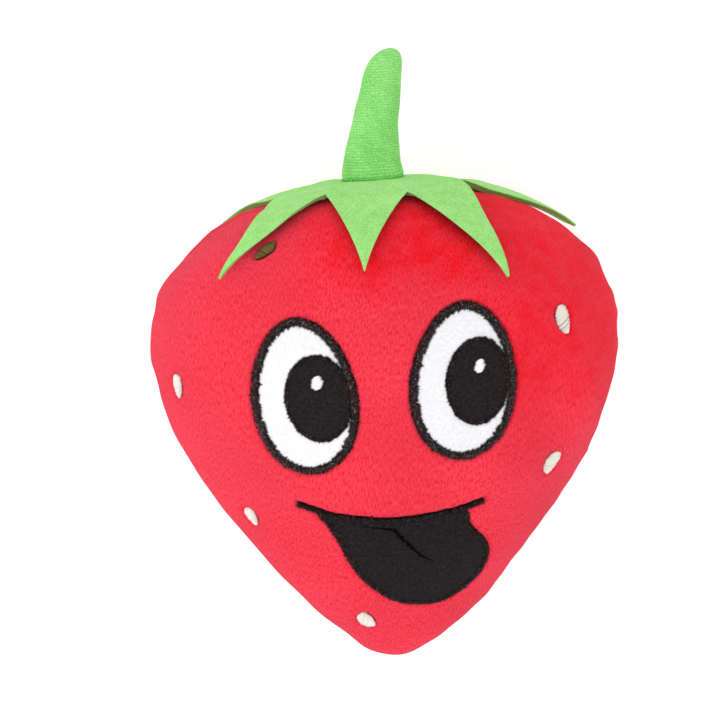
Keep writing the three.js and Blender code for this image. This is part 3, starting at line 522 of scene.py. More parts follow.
def seed_outline(side, seed):
    """A seed's outline on the slope of the body, seen from the front."""
    across, up, turn, long, wide = seed
    share = np.linspace(-1, 1, SEED_OUTLINE_POINTS)
    half = SEED_WIDTH * wide / 2 * seed_half(share, SEED_POINT)
    right = np.stack([half, SEED_LENGTH * long / 2 * share], axis=-1)
    spots = turned(np.concatenate([right, right[-2:0:-1] * [-1, 1]]), turn)
    return on_face((across, up)) + spots @ slope_frame(side, on_face((across, up)))


EYE_MIDDLES = {name: np.array([eye["place"][0] * HALF_WIDTH, WIDEST_Y + eye["place"][1] * CONE_LENGTH])
               for name, eye in EYES.items()}
MOUTH_OUTLINE = smooth_curve(on_mouth(TONGUE + UPPER_LIP), closed=True, count=MOUTH_STEPS)
SMILE_PATH = smooth_curve(on_mouth(SMILE), count=30)
SEED_OUTLINES = {side: [seed_outline(side, seed) for seed in seeds] for side, seeds in SEEDS.items()}


def stitched_outlines(side):
    """Everything that is stitched to one panel, as closed outlines."""
    outlines = list(SEED_OUTLINES[side])
    if side == FACE:
        for name, eye in EYES.items():
            outlines.append(EYE_MIDDLES[name] + egg(EYE_WIDTH, EYE_HEIGHT, eye["tilt"], EYE_EGG, count=90))
        outlines.append(MOUTH_OUTLINE)
        outlines.append(np.concatenate([SMILE_PATH + [0, SMILE_THIN], SMILE_PATH[::-1] - [0, SMILE_THIN]]))
    return outlines


def ease(share):
    """Rises smoothly from 0 to 1: 3 s^2 - 2 s^3."""
    share = np.clip(share, 0, 1)
    return share * share * (3 - 2 * share)


def stitched_down(side, points):
    """How far the pile is stitched down: 1.1 mm under the embroidery, easing out over a round edge 1.1 mm
    wide that starts 0.3 mm inside the outline."""
    press = np.zeros(points.shape[:-1])
    for outline in stitched_outlines(side):
        low, high = outline.min(axis=0) - STITCH_EDGE, outline.max(axis=0) + STITCH_EDGE
        near = np.all((points[..., :2] > low) & (points[..., :2] < high), axis=-1)
        gap = distance_outside(points[near][:, :2], outline)
        press[near] = np.maximum(press[near], 1 - ease((gap + STITCH_PULL) / STITCH_EDGE))
    return -STITCH_SINK * press


# Plush panels
# Each panel is one piece of minky, 2.2 mm through its pile and backing. The pile is combed about and
# lies over in places, which shows as fine short streaks, lighter and darker.
PANEL_ACROSS = 288
PANEL_ALONG = 296
INNER_STEP = 12
SEAM_CLEARANCE = 0.01 * MM
SEAM_CLOSES = 2 * MM
WELD = 0.001 * MM
PARTING_DEPTH = 0.8 * MM
PARTING_LENGTH = 26 * MM
PARTING_WIDTH = 4 * MM
PARTING_DRIFT = 3 * MM
PARTING_GAP = 4 * MM
PARTING_ASIDE = 1 * MM
PILE_BEND = 2.2 * MM
PILE_BEND_ACROSS = 32 * MM
PILE_BEND_ALONG = 40 * MM
LAY_AND_SHADE_WANDER = 2.5 * MM
LAY_AND_SHADE_WANDER_SIZE = 18 * MM
# Patches painted a deeper red, partly the pile's lay and partly painted shade below the star and on the right
# flank, as (how far, x of its start, x it takes, y of its start, y it takes).
LAY_AND_SHADE_SHOULDER = (0.8, -34 * MM, 30 * MM, 26 * MM, 16 * MM)
LAY_AND_SHADE_RIGHT = (0.2, 0, 20 * MM, 44 * MM, 8 * MM)
LAY_AND_SHADE_FLANK = (0.7, 8 * MM, 34 * MM, -20 * MM, 34 * MM)


def mesh_piece(name, points, quads):
    """A smooth mesh object at the origin, and which of the points each of its vertices comes from. Points
    closer than a thousandth of a millimetre are welded and the faces that shrink are dropped: a quad with
    two equal corners becomes a triangle."""
    keys = np.round(points / WELD).astype(np.int64)
    first, index = np.unique(keys, axis=0, return_index=True, return_inverse=True)[1:]
    corners = index.reshape(-1)[quads]
    whole = (np.diff(np.sort(corners, axis=1), axis=1) > 0).all(axis=1)
    faces = corners[whole].tolist()
    for quad in corners[~whole].tolist():
        left = [corner for i, corner in enumerate(quad) if corner != quad[i - 1]]
        if len(set(left)) == 3:
            faces.append(left)
    data = bpy.data.meshes.new(name)
    data.from_pydata(points[first].tolist(), [], faces)
    data.validate()
    data.polygons.foreach_set("use_smooth", np.ones(len(data.polygons), bool))
    data.update()
    piece = bpy.data.objects.new(name, data)
    bpy.context.scene.collection.objects.link(piece)
    return piece, first


def carry_vectors(piece, name, vectors):
    """Stores one vector for each vertex of the mesh, for the material to read."""
    lay = piece.data.attributes.new(name, "FLOAT_VECTOR", "POINT")
    lay.data.foreach_set("vector", vectors.astype(np.float32).reshape(-1))


def grid_faces(rows, columns, wrap_rows=False, wrap_columns=False, flip=False, first=0):
    """Quads over a grid of points kept row by row."""
    i = np.arange(rows if wrap_rows else rows - 1)[:, None]
    j = np.arange(columns if wrap_columns else columns - 1)[None, :]
    here, below = i * columns, (i + 1) % rows * columns
    beside = (j + 1) % columns
    quads = np.stack([here + j, here + beside, below + beside, below + j], axis=-1)
    quads = quads.reshape(-1, 4) + first
    return quads[:, ::-1] if flip else quads


def grid_normals(points):
    """Normals of a grid of points, from the steps along its rows and columns."""
    return unit(np.cross(np.gradient(points, axis=1), np.gradient(points, axis=0)))


def lay_and_shade_patch(x, y, far, x_start, x_takes, y_start, y_takes):
    """How far one patch of deeper red, pile lay and painted shade, reaches, easing in to the right and
    upwards.
    """
    return far * ease((y - y_start) / y_takes) * ease((x - x_start) / x_takes)


def pile_lay_and_shade(points):
    """How far the plush is painted a deeper red, 0 to 1: partly for the lay of the pile and partly as
    painted shade, below the felt star, more on the right shoulder than on the left, and on the right flank,
    away from the lamp. The patches' edges wander by slow noise."""
    wander = LAY_AND_SHADE_WANDER * waves(points, LAY_AND_SHADE_WANDER_SIZE, seed=23, count=10)
    x, y = points[..., 0], points[..., 1] + wander
    shoulder = lay_and_shade_patch(x, y, *LAY_AND_SHADE_SHOULDER) + lay_and_shade_patch(x, y, *LAY_AND_SHADE_RIGHT)
    return np.clip(np.maximum(shoulder, lay_and_shade_patch(x, y, *LAY_AND_SHADE_FLANK)), 0, 1)


def pile_map(points):
    """Distance across and along the surface from its middle, bent by slow noise so that the pile lies in
    a different direction from place to place, and last how far the plush is painted a deeper red for the
    pile's lay and as painted shade."""
    middle = points.shape[1] // 2
    steps_across = np.diff(points, axis=1, prepend=points[:, :1])
    steps_along = np.diff(points[:, middle], axis=0, prepend=points[:1, middle])
    across = np.cumsum(np.linalg.norm(steps_across, axis=-1), axis=1)
    along = np.cumsum(np.linalg.norm(steps_along, axis=-1))
    across = across - across[:, middle:middle + 1] + PILE_BEND * waves(points, PILE_BEND_ACROSS, seed=21)
    along = along[:, None] + PILE_BEND * waves(points, PILE_BEND_ALONG, seed=22)
    return np.stack([across, along, pile_lay_and_shade(points)], axis=-1)


def pile_parting(side, points):
    """The pile parts in a shallow valley below the front leaf's point: 0.8 mm deep, a parabola along its
    26 mm and a bell curve across, running down and a little to the right."""
    if side == BACK:
        return np.zeros(points.shape[:-1])
    leaf_low, leaf_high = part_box("leaf_1")
    down = (leaf_low[1] + PARTING_GAP - points[..., 1]) / PARTING_LENGTH
    fade = np.clip(down, 0, 1) * np.clip(1 - down, 0, 1) * 4
    middle = (leaf_low[0] + leaf_high[0]) / 2 - PARTING_ASIDE + PARTING_DRIFT * down
    return -PARTING_DEPTH * fade * np.exp(-((points[..., 0] - middle) / PARTING_WIDTH) ** 2)


def plush_panel(name, side):
    """The outer face is the superellipse body moved along its normals by the pile, the lumps and the
    seam's relief. The inner face lies 2.2 mm below it on a coarser grid, joined at the side seam."""
    v, u = np.linspace(0, 1, PANEL_ALONG + 1), np.linspace(0, 1, PANEL_ACROSS + 1)
    v, u = np.meshgrid(v, u, indexing="ij")
    smooth = body_point(side, u, v)
    rim = np.exp(-np.abs(smooth[..., 2] - SEAM_Z) / SEAM_CLOSES)
    smooth[..., 2] -= side * rim * (SEAM_GAP / 2 - SEAM_CLEARANCE)
    out = grid_normals(smooth) * side
    out[0], out[-1] = [0, 1, 0], [0, -1, 0]
    out[:, [0, -1], 2] = 0
    out = unit(out)
    lift = plush_lumps(smooth) + stitched_down(side, smooth)
    lift = lift + seam_relief(smooth) + pile_parting(side, smooth)
    outer = smooth + out * lift[..., None]
    outer[0], outer[-1] = outer[0, PANEL_ACROSS // 2], outer[-1, PANEL_ACROSS // 2]
    inner = (outer - out * PLUSH)[:, ::INNER_STEP]
    if side == BACK:
        outer[..., 2] = np.maximum(outer[..., 2], 0)
        inner[..., 2] = np.maximum(inner[..., 2], PLUSH)
    rows, columns = PANEL_ALONG + 1, inner.shape[1]
    start = outer[..., 0].size
    row = np.arange(PANEL_ALONG)
    quads = [grid_faces(rows, PANEL_ACROSS + 1, flip=side == BACK),
             grid_faces(rows, columns, flip=side == FACE, first=start)]
    for far, near in ((0, 0), (PANEL_ACROSS, columns - 1)):
        a, b = row * (PANEL_ACROSS + 1) + far, start + row * columns + near
        rim_quads = np.stack([a, b, b + columns, a + PANEL_ACROSS + 1], axis=-1)
        quads.append(rim_quads[:, ::-1] if (far == 0) == (side == FACE) else rim_quads)
    points = np.concatenate([outer.reshape(-1, 3), inner.reshape(-1, 3)])
    pile = np.concatenate([pile_map(outer).reshape(-1, 3), pile_map(inner).reshape(-1, 3)])
    piece, kept = mesh_piece(name, points, np.concatenate(quads))
    carry_vectors(piece, "pile", pile[kept])
    return piece


def minky():
    """Polyester minky: matt fibres whose ends catch light at grazing angles, so it has sheen and no gloss.
    Streaks are 0.3 mm wide and 1.4 mm long. Where the colour is multiplied to a deeper red, partly for the
    pile's lay and partly as painted shade, tufts 5 mm across break it up. The pile is 2 mm long and its
    single fibres too fine to show."""
    made, tree = new_material("red_minky_plush")
    pile = node(tree, "ShaderNodeAttribute", {"attribute_name": "pile"})
    lay = node(tree, "ShaderNodeMapping", links={
        "Vector": (pile, "Vector"), "Scale": (3.3 / MM, 0.72 / MM, 0)})
    lies = node(tree, "ShaderNodeSeparateXYZ", links={0: (pile, "Vector")})
    streak = node(tree, "ShaderNodeTexNoise", links={
        "Vector": (lay, 0), "Scale": 1.0, "Detail": 3.0, "Roughness": 0.65})
    place = node(tree, "ShaderNodeTexCoord")
    nap = node(tree, "ShaderNodeTexNoise", links={
        "Vector": (place, "Object"), "Scale": 0.055 / MM, "Detail": 3.0})
    grain = node(tree, "ShaderNodeTexNoise", links={
        "Vector": (place, "Object"), "Scale": 1.5 / MM, "Detail": 2.0})
    tuft = node(tree, "ShaderNodeTexNoise", links={
        "Vector": (place, "Object"), "Scale": 0.19 / MM, "Detail": 4.0})
    streak_tone = node(tree, "ShaderNodeMapRange", links={
        "Value": (streak, "Fac"), "From Min": 0.34, "From Max": 0.57, "To Min": 0.0, "To Max": 1.0})
    streaked = node(tree, "ShaderNodeMix", {"data_type": "RGBA"}, {
        0: (streak_tone, 0), 6: srgb("#ec162a"), 7: srgb("#ff4a5e")})
    nap_tone = node(tree, "ShaderNodeMapRange", links={
        "Value": (nap, "Fac"), "From Min": 0.35, "From Max": 0.7, "To Min": 0.0, "To Max": 0.2})
    tone = node(tree, "ShaderNodeMix", {"data_type": "RGBA", "blend_type": "MULTIPLY"}, {
        0: (nap_tone, 0), 6: (streaked, 2), 7: srgb("#f0a8ac")})
    tuft_tone = node(tree, "ShaderNodeMapRange", links={
        "Value": (tuft, "Fac"), "From Min": 0.38, "From Max": 0.62, "To Min": 0.6, "To Max": 1.0})
    # Painted shade and the pile's lay: where the pile vector's third value is high, the tone is multiplied to
    # a deeper red, broken up by tufts.
    brushed = node(tree, "ShaderNodeMath", {"operation": "MULTIPLY"}, {0: (lies, "Z"), 1: (tuft_tone, 0)})
    deeper = node(tree, "ShaderNodeMix", {"data_type": "RGBA", "blend_type": "MULTIPLY"}, {
        0: (brushed, 0), 6: (tone, 2), 7: srgb("#ff3a4c")})
    height = node(tree, "ShaderNodeMath", {"operation": "MULTIPLY_ADD"}, {
        0: (grain, "Fac"), 1: 0.25, 2: (streak, "Fac")})
    bump = node(tree, "ShaderNodeBump", links={"Height": (height, 0), "Strength": 1.0, "Distance": 0.55 * MM})
    shader = node(tree, "ShaderNodeBsdfPrincipled", links={
        "Base Color": (deeper, 2), "Roughness": 0.95, "Specular IOR Level": 0.04, "Sheen Weight": 0.28,
        "Sheen Roughness": 0.3, "Sheen Tint": srgb("#ffa4bc"), "Normal": (bump, 0)})
    node(tree, "ShaderNodeOutputMaterial", links={"Surface": (shader, 0)})
    return made


def give_way(piece):
    """Bakes the piece's place into its mesh."""
    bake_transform(piece)


red_minky = minky()
for panel_name, panel_side, cad_node in (
        ("front_plush", FACE, "front_panel"), ("back_plush", BACK, "back_panel")):
    plush = plush_panel(panel_name, panel_side)
    plush.data.materials.append(red_minky)
    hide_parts(cad_node)
    if panel_side == FACE:
        give_way(plush)
    else:
        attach(plush, "root")


# Felt star
# A star of 1.8 mm craft felt with seven leaves, cut in one piece and draped over the shoulders. Only its
# middle is held, under the stalk, so the leaves stand off the plush a little and can be lifted.
FELT = 1.8 * MM
FELT_BITE = 0.3 * MM
FELT_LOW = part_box("stem_cover")[0][1] - FELT_BITE - FELT - WIDEST_Y - DOME_HEIGHT
LEAF_COUNT = 7
LEAF_TURN = 2 * np.pi / LEAF_COUNT
FRONT_WAY = 2 * np.pi * 0.261
VALLEY_REACH = 25 * MM
FOLD_REACH = VALLEY_REACH * math.cos(LEAF_TURN / 2)
FOLD_HALF = VALLEY_REACH * math.sin(LEAF_TURN / 2)
LEAF_REACH = 58 * MM
FRONT_LEAF_REACH = 51 * MM
LEAF_LENGTHENED = 1.4 * MM
LEAF_POINT = 0.5 * MM
LEAF_RISE = 5 * MM
LEAF_SWEEP = 6 * MM
LEAF_BOW = 3 * MM
LEAF_SWAY = 0.5 * MM
LEAF_SWAY_SIZE = 22 * MM
LEAF_SWAY_DROP = 0.3 * MM
LEAF_SWAY_MIDDLE_SHARE = 0.4
LEAF_SWAY_FULL_SHARE = 1 / 3
LEAF_TILT_FULL_SHARE = 1 / 3.4
NOTCH_CURL = 0.9 * MM
NOTCH_CURL_SHARE = 0.7
# One share for each leaf, from the front one round to the left.
LEAF_LENGTHENED_SHARES = [0, 0, 0, 0, 0, 1, 1]
LEAF_RISE_SHARES = [0.4, 0.35, 0.1, 0.1, 0.1, 0.25, 0.3]
LEAF_TILTS = [0, 0, 0.1, 0, 0, -0.17, 0]
LEAF_SWEEP_SHARES = [0, -0.7, 0.8, 0.2, -0.2, 0, 1.25]
LEAF_BOW_SHARES = [0, -1.2, 0.8, 0, 0, 0, 0.5]
LEAF_TAPER_POWERS = [1.12, 1.27, 1.08, 1.08, 1.08, 1.08, 0.95]
DIE_REACH = 0.7 * MM
DIE_TOP = 0.2 * MM
DIE_LOW = 0.85 * MM
DIE_UNDERCUT = 1.0 * MM
DIE_UNDERCUT_SHARE = 0.6
UNDERCUT_START = 0.6 * MM
STALK_HOLE = 4.5 * MM
LEFT_SEAM_SINK = 1.2 * MM
RIGHT_SEAM_SINK = -0.15 * MM
SEAM_SINK_REACH = 6 * MM
DRAPE_STEPS = 240
LEAF_COLUMNS = 24
LEAF_ROWS = 72
HUB_ROWS = 16
HUB_ROW_POWER = 1.6


def entry_at(table, at):
    """The table's entry at each place's own step of the walk."""
    return np.take_along_axis(table, at, axis=-1)[..., 0]


def draped(right, front, lift):
    """Where a place of the flat star comes to lie. right and front are measured on the flat felt from its
    middle, and along the body's surface once it is draped. lift raises it off the plush: the surface's
    arc is walked down from its top until it is as long as the place is far from the middle. Over the
    left side seam, which draws in, the felt sinks by 1.2 mm, and over the right one it rises 0.15 mm."""
    reach = np.hypot(right + STAR_X, front)
    way = np.arctan2(front, right + STAR_X)
    power = np.where(front < 0, ROUND_POWER[BACK], ROUND_POWER[FACE])[..., None]
    side = np.where(front < 0, BACK, FACE)[..., None]
    quarter = np.pi / 2 * np.linspace(0, 1, DRAPE_STEPS + 1)
    y = WIDEST_Y + DOME_HEIGHT * np.cos(quarter) ** (2 / DOME_POWER)
    wide = np.abs(np.cos(way))[..., None] / np.maximum(half_width(y), TINY)
    deep = np.abs(np.sin(way))[..., None] / np.maximum(half_depth(side, y), TINY)
    r = (wide ** power + deep ** power) ** (-1 / power)
    step_r, step_y = np.diff(r, axis=-1), np.broadcast_to(np.diff(y), r[..., 1:].shape)
    step = np.hypot(step_r, step_y)
    gone = np.cumsum(step, axis=-1)
    at = np.minimum((gone < reach[..., None]).sum(axis=-1), DRAPE_STEPS - 1)[..., None]
    share = 1 + (reach - entry_at(gone, at)) / entry_at(step, at)
    out = entry_at(r[..., :-1], at) + entry_at(step_r, at) * share
    height = y[at[..., 0]] + entry_at(step_y, at) * share
    place = np.stack([out * np.cos(way), height, SEAM_Z + out * np.sin(way)], axis=-1)
    sink = np.where(place[..., 0] > 0, RIGHT_SEAM_SINK, LEFT_SEAM_SINK)
    over_seam = np.exp(-((place[..., 2] - SEAM_Z) / SEAM_SINK_REACH) ** 2) * (1 - near_stalk(place))
    lift = lift + plush_lumps(place) - sink * over_seam
    slope = np.arctan2(-entry_at(step_y, at), entry_at(step_r, at))
    out, height = out + np.sin(slope) * lift, height + np.cos(slope) * lift
    return np.stack([out * np.cos(way), height, SEAM_Z + out * np.sin(way)], axis=-1)


def leaf_place(number, reach, aside):
    """A place on the flat star, by its distance out along a leaf's middle line and to one side of it."""
    way = FRONT_WAY + number * LEAF_TURN
    return reach * np.cos(way) - aside * np.sin(way), reach * np.sin(way) + aside * np.cos(way)


def leaf_length(number):
    """Length of a leaf from its fold to its point."""
    reach = FRONT_LEAF_REACH if number == 0 else LEAF_REACH
    return reach + LEAF_LENGTHENED * LEAF_LENGTHENED_SHARES[number] - FOLD_REACH


def rim_of_grid(rows, columns, wrap):
    """The rims of a grid as loops of (row, column): its two end rows where the columns wrap round, or
    else one loop round all four sides."""
    across, back = list(range(columns)), list(reversed(range(columns)))
    if wrap:
        return [[(0, j) for j in across], [(rows - 1, j) for j in back]]
    right = [(i, columns - 1) for i in range(1, rows)]
    end = [(rows - 1, j) for j in back[1:]]
    left = [(i, 0) for i in reversed(range(1, rows - 1))]
    return [[(0, j) for j in across] + right + end + left]


def closed_sheet(name, top, low, wrap):
    """A closed sheet from a top and a lower grid: their faces, and a wall round the rim with one row of
    points halfway that bulges by a twelfth of the thickness. Cut walls carry 1 in the attribute cut_edge.
    Walls on a fold, which are row 0 or a closed ring, stay flat and shade apart from the faces."""
    rows, columns = top.shape[:2]
    points = [top.reshape(-1, 3), low.reshape(-1, 3)]
    total = rows * columns
    quads = [grid_faces(rows, columns, wrap_columns=wrap),
             grid_faces(rows, columns, wrap_columns=wrap, flip=True, first=total)]
    on_fold = np.zeros(2 * total)
    rim = np.zeros(2 * total)
    for loop in rim_of_grid(rows, columns, wrap):
        i, j = np.array(loop).T
        a, b = top[i, j], low[i, j]
        cut = (i > 0) & (not wrap)
        inward = unit(top[np.clip(i, 1, rows - 2), j if wrap else np.clip(j, 1, columns - 2)] - a)
        bulge_out = np.linalg.norm(a - b, axis=-1, keepdims=True) / 12 * cut[:, None]
        points.append((a + b) / 2 - inward * bulge_out)
        upper, middle = i * columns + j, len(rim) + np.arange(len(loop))
        for high, under in ((upper, middle), (middle, upper + total)):
            quads.append(np.stack([under, np.roll(under, -1), np.roll(high, -1), high], axis=-1))
        rim = np.concatenate([rim, cut.astype(float)])
        held = (i == 0) | wrap
        on_fold[upper[held]] = on_fold[upper[held] + total] = 1
        on_fold = np.concatenate([on_fold, held.astype(float)])
    piece, kept = mesh_piece(name, np.concatenate(points), np.concatenate(quads))
    data = piece.data
    corners, starts = np.empty(len(data.loops), np.int32), np.empty(len(data.polygons), np.int32)
    data.loops.foreach_get("vertex_index", corners)
    data.polygons.foreach_get("loop_start", starts)
    folded = np.logical_and.reduceat(on_fold[kept][corners] > 0, starts)
    data.polygons.foreach_set("use_smooth", ~folded)
    edge = data.attributes.new("cut_edge", "FLOAT", "POINT")
    edge.data.foreach_set("value", rim[kept].astype(np.float32))
    return piece


def notch_curl(aside_share):
    """The stiff felt bridges the round shoulder between two leaves, so it stands off there by 0.9 mm
    times the distance from the leaf's middle, as a share, to the fourth power."""
    return NOTCH_CURL * np.abs(aside_share) ** 4


def rim_pressed(inside):
    """How far the cutting die has pressed the felt, at a distance inside its rim: a bell curve that
    reaches in by 0.7 mm."""
    return np.exp(-(inside / DIE_REACH) ** 2)


def felt_hub():
    """The middle of the star, out to the seven straight folds between the notches. Its rows lie closer
    towards the folds: 1 - (1 - share)^1.6."""
    share = 1 - (1 - np.linspace(0, 1, HUB_ROWS + 1)[:, None]) ** HUB_ROW_POWER
    number, column = np.divmod(np.arange(LEAF_COUNT * LEAF_COLUMNS), LEAF_COLUMNS)
    aside_share = -np.cos(np.pi * column / LEAF_COLUMNS)
    right, front = leaf_place(number, FOLD_REACH, aside_share * FOLD_HALF)
    full = np.hypot(right, front)
    scale = (STALK_HOLE + (full - STALK_HOLE) * share) / full
    curl = notch_curl(aside_share) * ease(share)
    pressed = rim_pressed(np.hypot((1 - np.abs(aside_share)) * FOLD_HALF, (1 - share) * full))
    top, low = (draped(right * scale, front * scale, FELT_LOW + curl + lift)
                for lift in (FELT - DIE_TOP * pressed, DIE_LOW * pressed))
    return closed_sheet("felt_hub", top, low, wrap=True)


def felt_leaf(number):
    """One leaf from its fold to its point. Its half width falls as (1 - v)^power, its middle line sweeps
    straight to one side and bows as sin^2, its point rises with v^2, and slow waves run along the edges.
    The cutting die has pressed the rim 1 mm thinner and left the underside 1 mm narrower."""
    length = leaf_length(number)
    v = np.linspace(0, 1, LEAF_ROWS + 1)[:, None]
    across = -np.cos(np.pi * np.linspace(0, 1, LEAF_COLUMNS + 1))[None, :]
    half = FOLD_HALF * (1 - v) ** LEAF_TAPER_POWERS[number] + LEAF_POINT / 2 * v
    bow = LEAF_BOW * LEAF_BOW_SHARES[number] * np.sin(np.pi * v) ** 2
    middle = LEAF_SWEEP * LEAF_SWEEP_SHARES[number] * v + bow
    free = np.clip(v * length / UNDERCUT_START, 0, 1)
    undercut = np.minimum(DIE_UNDERCUT, DIE_UNDERCUT_SHARE * half) * free
    pressed = rim_pressed(np.minimum((1 - np.abs(across)) * half, (1 - v) * length))
    walls = []
    for narrower, die, thick in ((0, -DIE_TOP, FELT), (undercut, DIE_LOW, 0)):
        aside = across * (half - narrower) + middle
        right, front = leaf_place(number, FOLD_REACH + length * v + 0 * across, aside)
        flat = np.stack([right, front, 0 * right], axis=-1)
        sway = LEAF_SWAY * waves(flat, LEAF_SWAY_SIZE, seed=31) * ease(v / LEAF_SWAY_FULL_SHARE)
        sway = sway * (LEAF_SWAY_MIDDLE_SHARE + np.abs(across))
        lift = LEAF_RISE * LEAF_RISE_SHARES[number] * v ** 2 + np.maximum(sway, -LEAF_SWAY_DROP * v)
        lift = lift + LEAF_TILTS[number] * across * half * ease(v / LEAF_TILT_FULL_SHARE)
        lift = lift + notch_curl(across) * (1 - ease(v / NOTCH_CURL_SHARE)) + die * pressed
        walls.append(draped(right, front, FELT_LOW + lift + thick))
    return closed_sheet(f"felt_leaf_{number + 1}", walls[0], walls[1], wrap=False)


def craft_felt():
    """Green polyester craft felt: pressed fibres with no weave, matt, mottled by fibre ends half a
    millimetre apart and by patches of 4 mm. The cut edge is painted a brighter green, painted light that
    offsets its shade and the red light thrown on it by the plush."""
    made, tree = new_material("green_craft_felt")
    place = node(tree, "ShaderNodeTexCoord")
    edge = node(tree, "ShaderNodeAttribute", {"attribute_name": "cut_edge"})
    fibre = node(tree, "ShaderNodeTexNoise", links={
        "Vector": (place, "Object"), "Scale": 1.9 / MM, "Detail": 3.0, "Roughness": 0.7, "Distortion": 0.8})
    patch = node(tree, "ShaderNodeTexNoise", links={
        "Vector": (place, "Object"), "Scale": 0.26 / MM, "Detail": 3.0})
    mottle = node(tree, "ShaderNodeMath", {"operation": "MULTIPLY_ADD"}, {
        0: (patch, "Fac"), 1: 0.3, 2: (fibre, "Fac")})
    tone = node(tree, "ShaderNodeMapRange", links={"Value": (mottle, 0), "From Min": 0.45, "From Max": 0.85})
    face = node(tree, "ShaderNodeMix", {"data_type": "RGBA"}, {
        0: (tone, 0), 6: srgb("#7cc860"), 7: srgb("#aeeb8e")})
    # Painted light: the cut edge gets a brighter, greener colour to offset its shade and the red light from
    # the plush.
    colour = node(tree, "ShaderNodeMix", {"data_type": "RGBA"}, {
        0: (edge, "Fac"), 6: (face, 2), 7: srgb("#74ea60")})
    bump = node(tree, "ShaderNodeBump", links={"Height": (mottle, 0), "Strength": 0.6, "Distance": 0.15 * MM})
    shader = node(tree, "ShaderNodeBsdfPrincipled", links={
        "Base Color": (colour, 2), "Roughness": 0.95, "Specular IOR Level": 0.15, "Sheen Weight": 0.25,
        "Sheen Roughness": 0.5, "Sheen Tint": srgb("#d8f5c4"), "Normal": (bump, 0)})
    node(tree, "ShaderNodeOutputMaterial", links={"Surface": (shader, 0)})
    return made


green_felt = craft_felt()
hub = felt_hub()
hub.data.materials.append(green_felt)
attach(hub, "root")
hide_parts("calyx_hub")
for leaf_number in range(LEAF_COUNT):
    leaf = felt_leaf(leaf_number)
    leaf.data.materials.append(green_felt)
    joint = next(j for j in frame["joints"] if j["name"] == f"leaf_{leaf_number + 1}_lift")
    hinge, fold_axis = np.array(joint["pos_m"]), np.array(joint["axis"])
    fold_out = np.mean([v.co for v in leaf.data.vertices], axis=0) - hinge
    fold_out = unit(fold_out - fold_axis * (fold_out @ fold_axis))
    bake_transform(leaf)
    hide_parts(f"leaf_{leaf_number + 1}")
    long = leaf_length(leaf_number)


# Stalk
# A tube of fine ribbed knit with its ribs running round, closed at the top, stuffed, and slip-stitched
# down to the felt with its hem turned in. It leans and flares out at one side of its foot.
STALK_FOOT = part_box("stem_cover")[0][1]
# The stalk's line as (height over the foot, place of its middle to the right, radius), in millimetres.
STALK_LINE = [(0, -1.2, 8.9), (2, -1.2, 8.55), (4.7, -1.12, 8.0), (7.5, -0.9, 7.45), (10.2, -0.6, 6.95),
              (13, -0.15, 6.6), (15.7, 0.35, 6.32), (21.3, 1.45, 6.0), (26.8, 2.6, 5.45), (29.5, 3.3, 5.1),
              (35.4, 5.1, 4.9)]
STALK_CAP = 28 * MM
STALK_TOP = 35.4 * MM
STALK_WALL = 1 * MM
STALK_GIRTH = 7 * MM
CAP_POWER = 2.3
CAP_LEAN = 0.02
CAP_LEAN_SHARE = 0.25
CAP_CLOSING = 0.1 * MM
RIB = 0.75 * MM
RIB_HEIGHT = 0.17 * MM
RIB_WAVER = 0.12
RIB_WAVER_SIZE = 5 * MM
DENT_HEIGHT = 0.18 * MM
DENT_SIZE = 12 * MM
HEM_TUCK = 0.9 * MM
HEM_HEIGHT = 1.4 * MM
HEM_SINK = 0.1 * MM
HEM_BLEND = 3 * MM
RIB_ROWS = 6
STALK_COLUMNS = 80
STALK_SPLIT = 6


def stalk_ring(height, turn, rise):
    """The middle line and radius run smoothly through the listed heights, and the top closes as
    (1 - share^2.3)^(1/2.3) of the radius, leaning up to the right a little."""
    line = smooth_curve(np.array(STALK_LINE) * MM, count=20)
    middle, radius = (np.interp(height, line[:, 0], line[:, i]) for i in (1, 2))
    share = np.clip((height - STALK_CAP) / (STALK_TOP - STALK_CAP), 0, 1)
    radius = (radius + rise) * (1 - share ** CAP_POWER) ** (1 / CAP_POWER)
    aside, front = radius * np.cos(turn), radius * np.sin(turn)
    lean = aside * CAP_LEAN * np.clip(share / CAP_LEAN_SHARE, 0, 1)
    return np.stack([middle + aside, STALK_FOOT + height + lean, SEAM_Z + front], axis=-1)


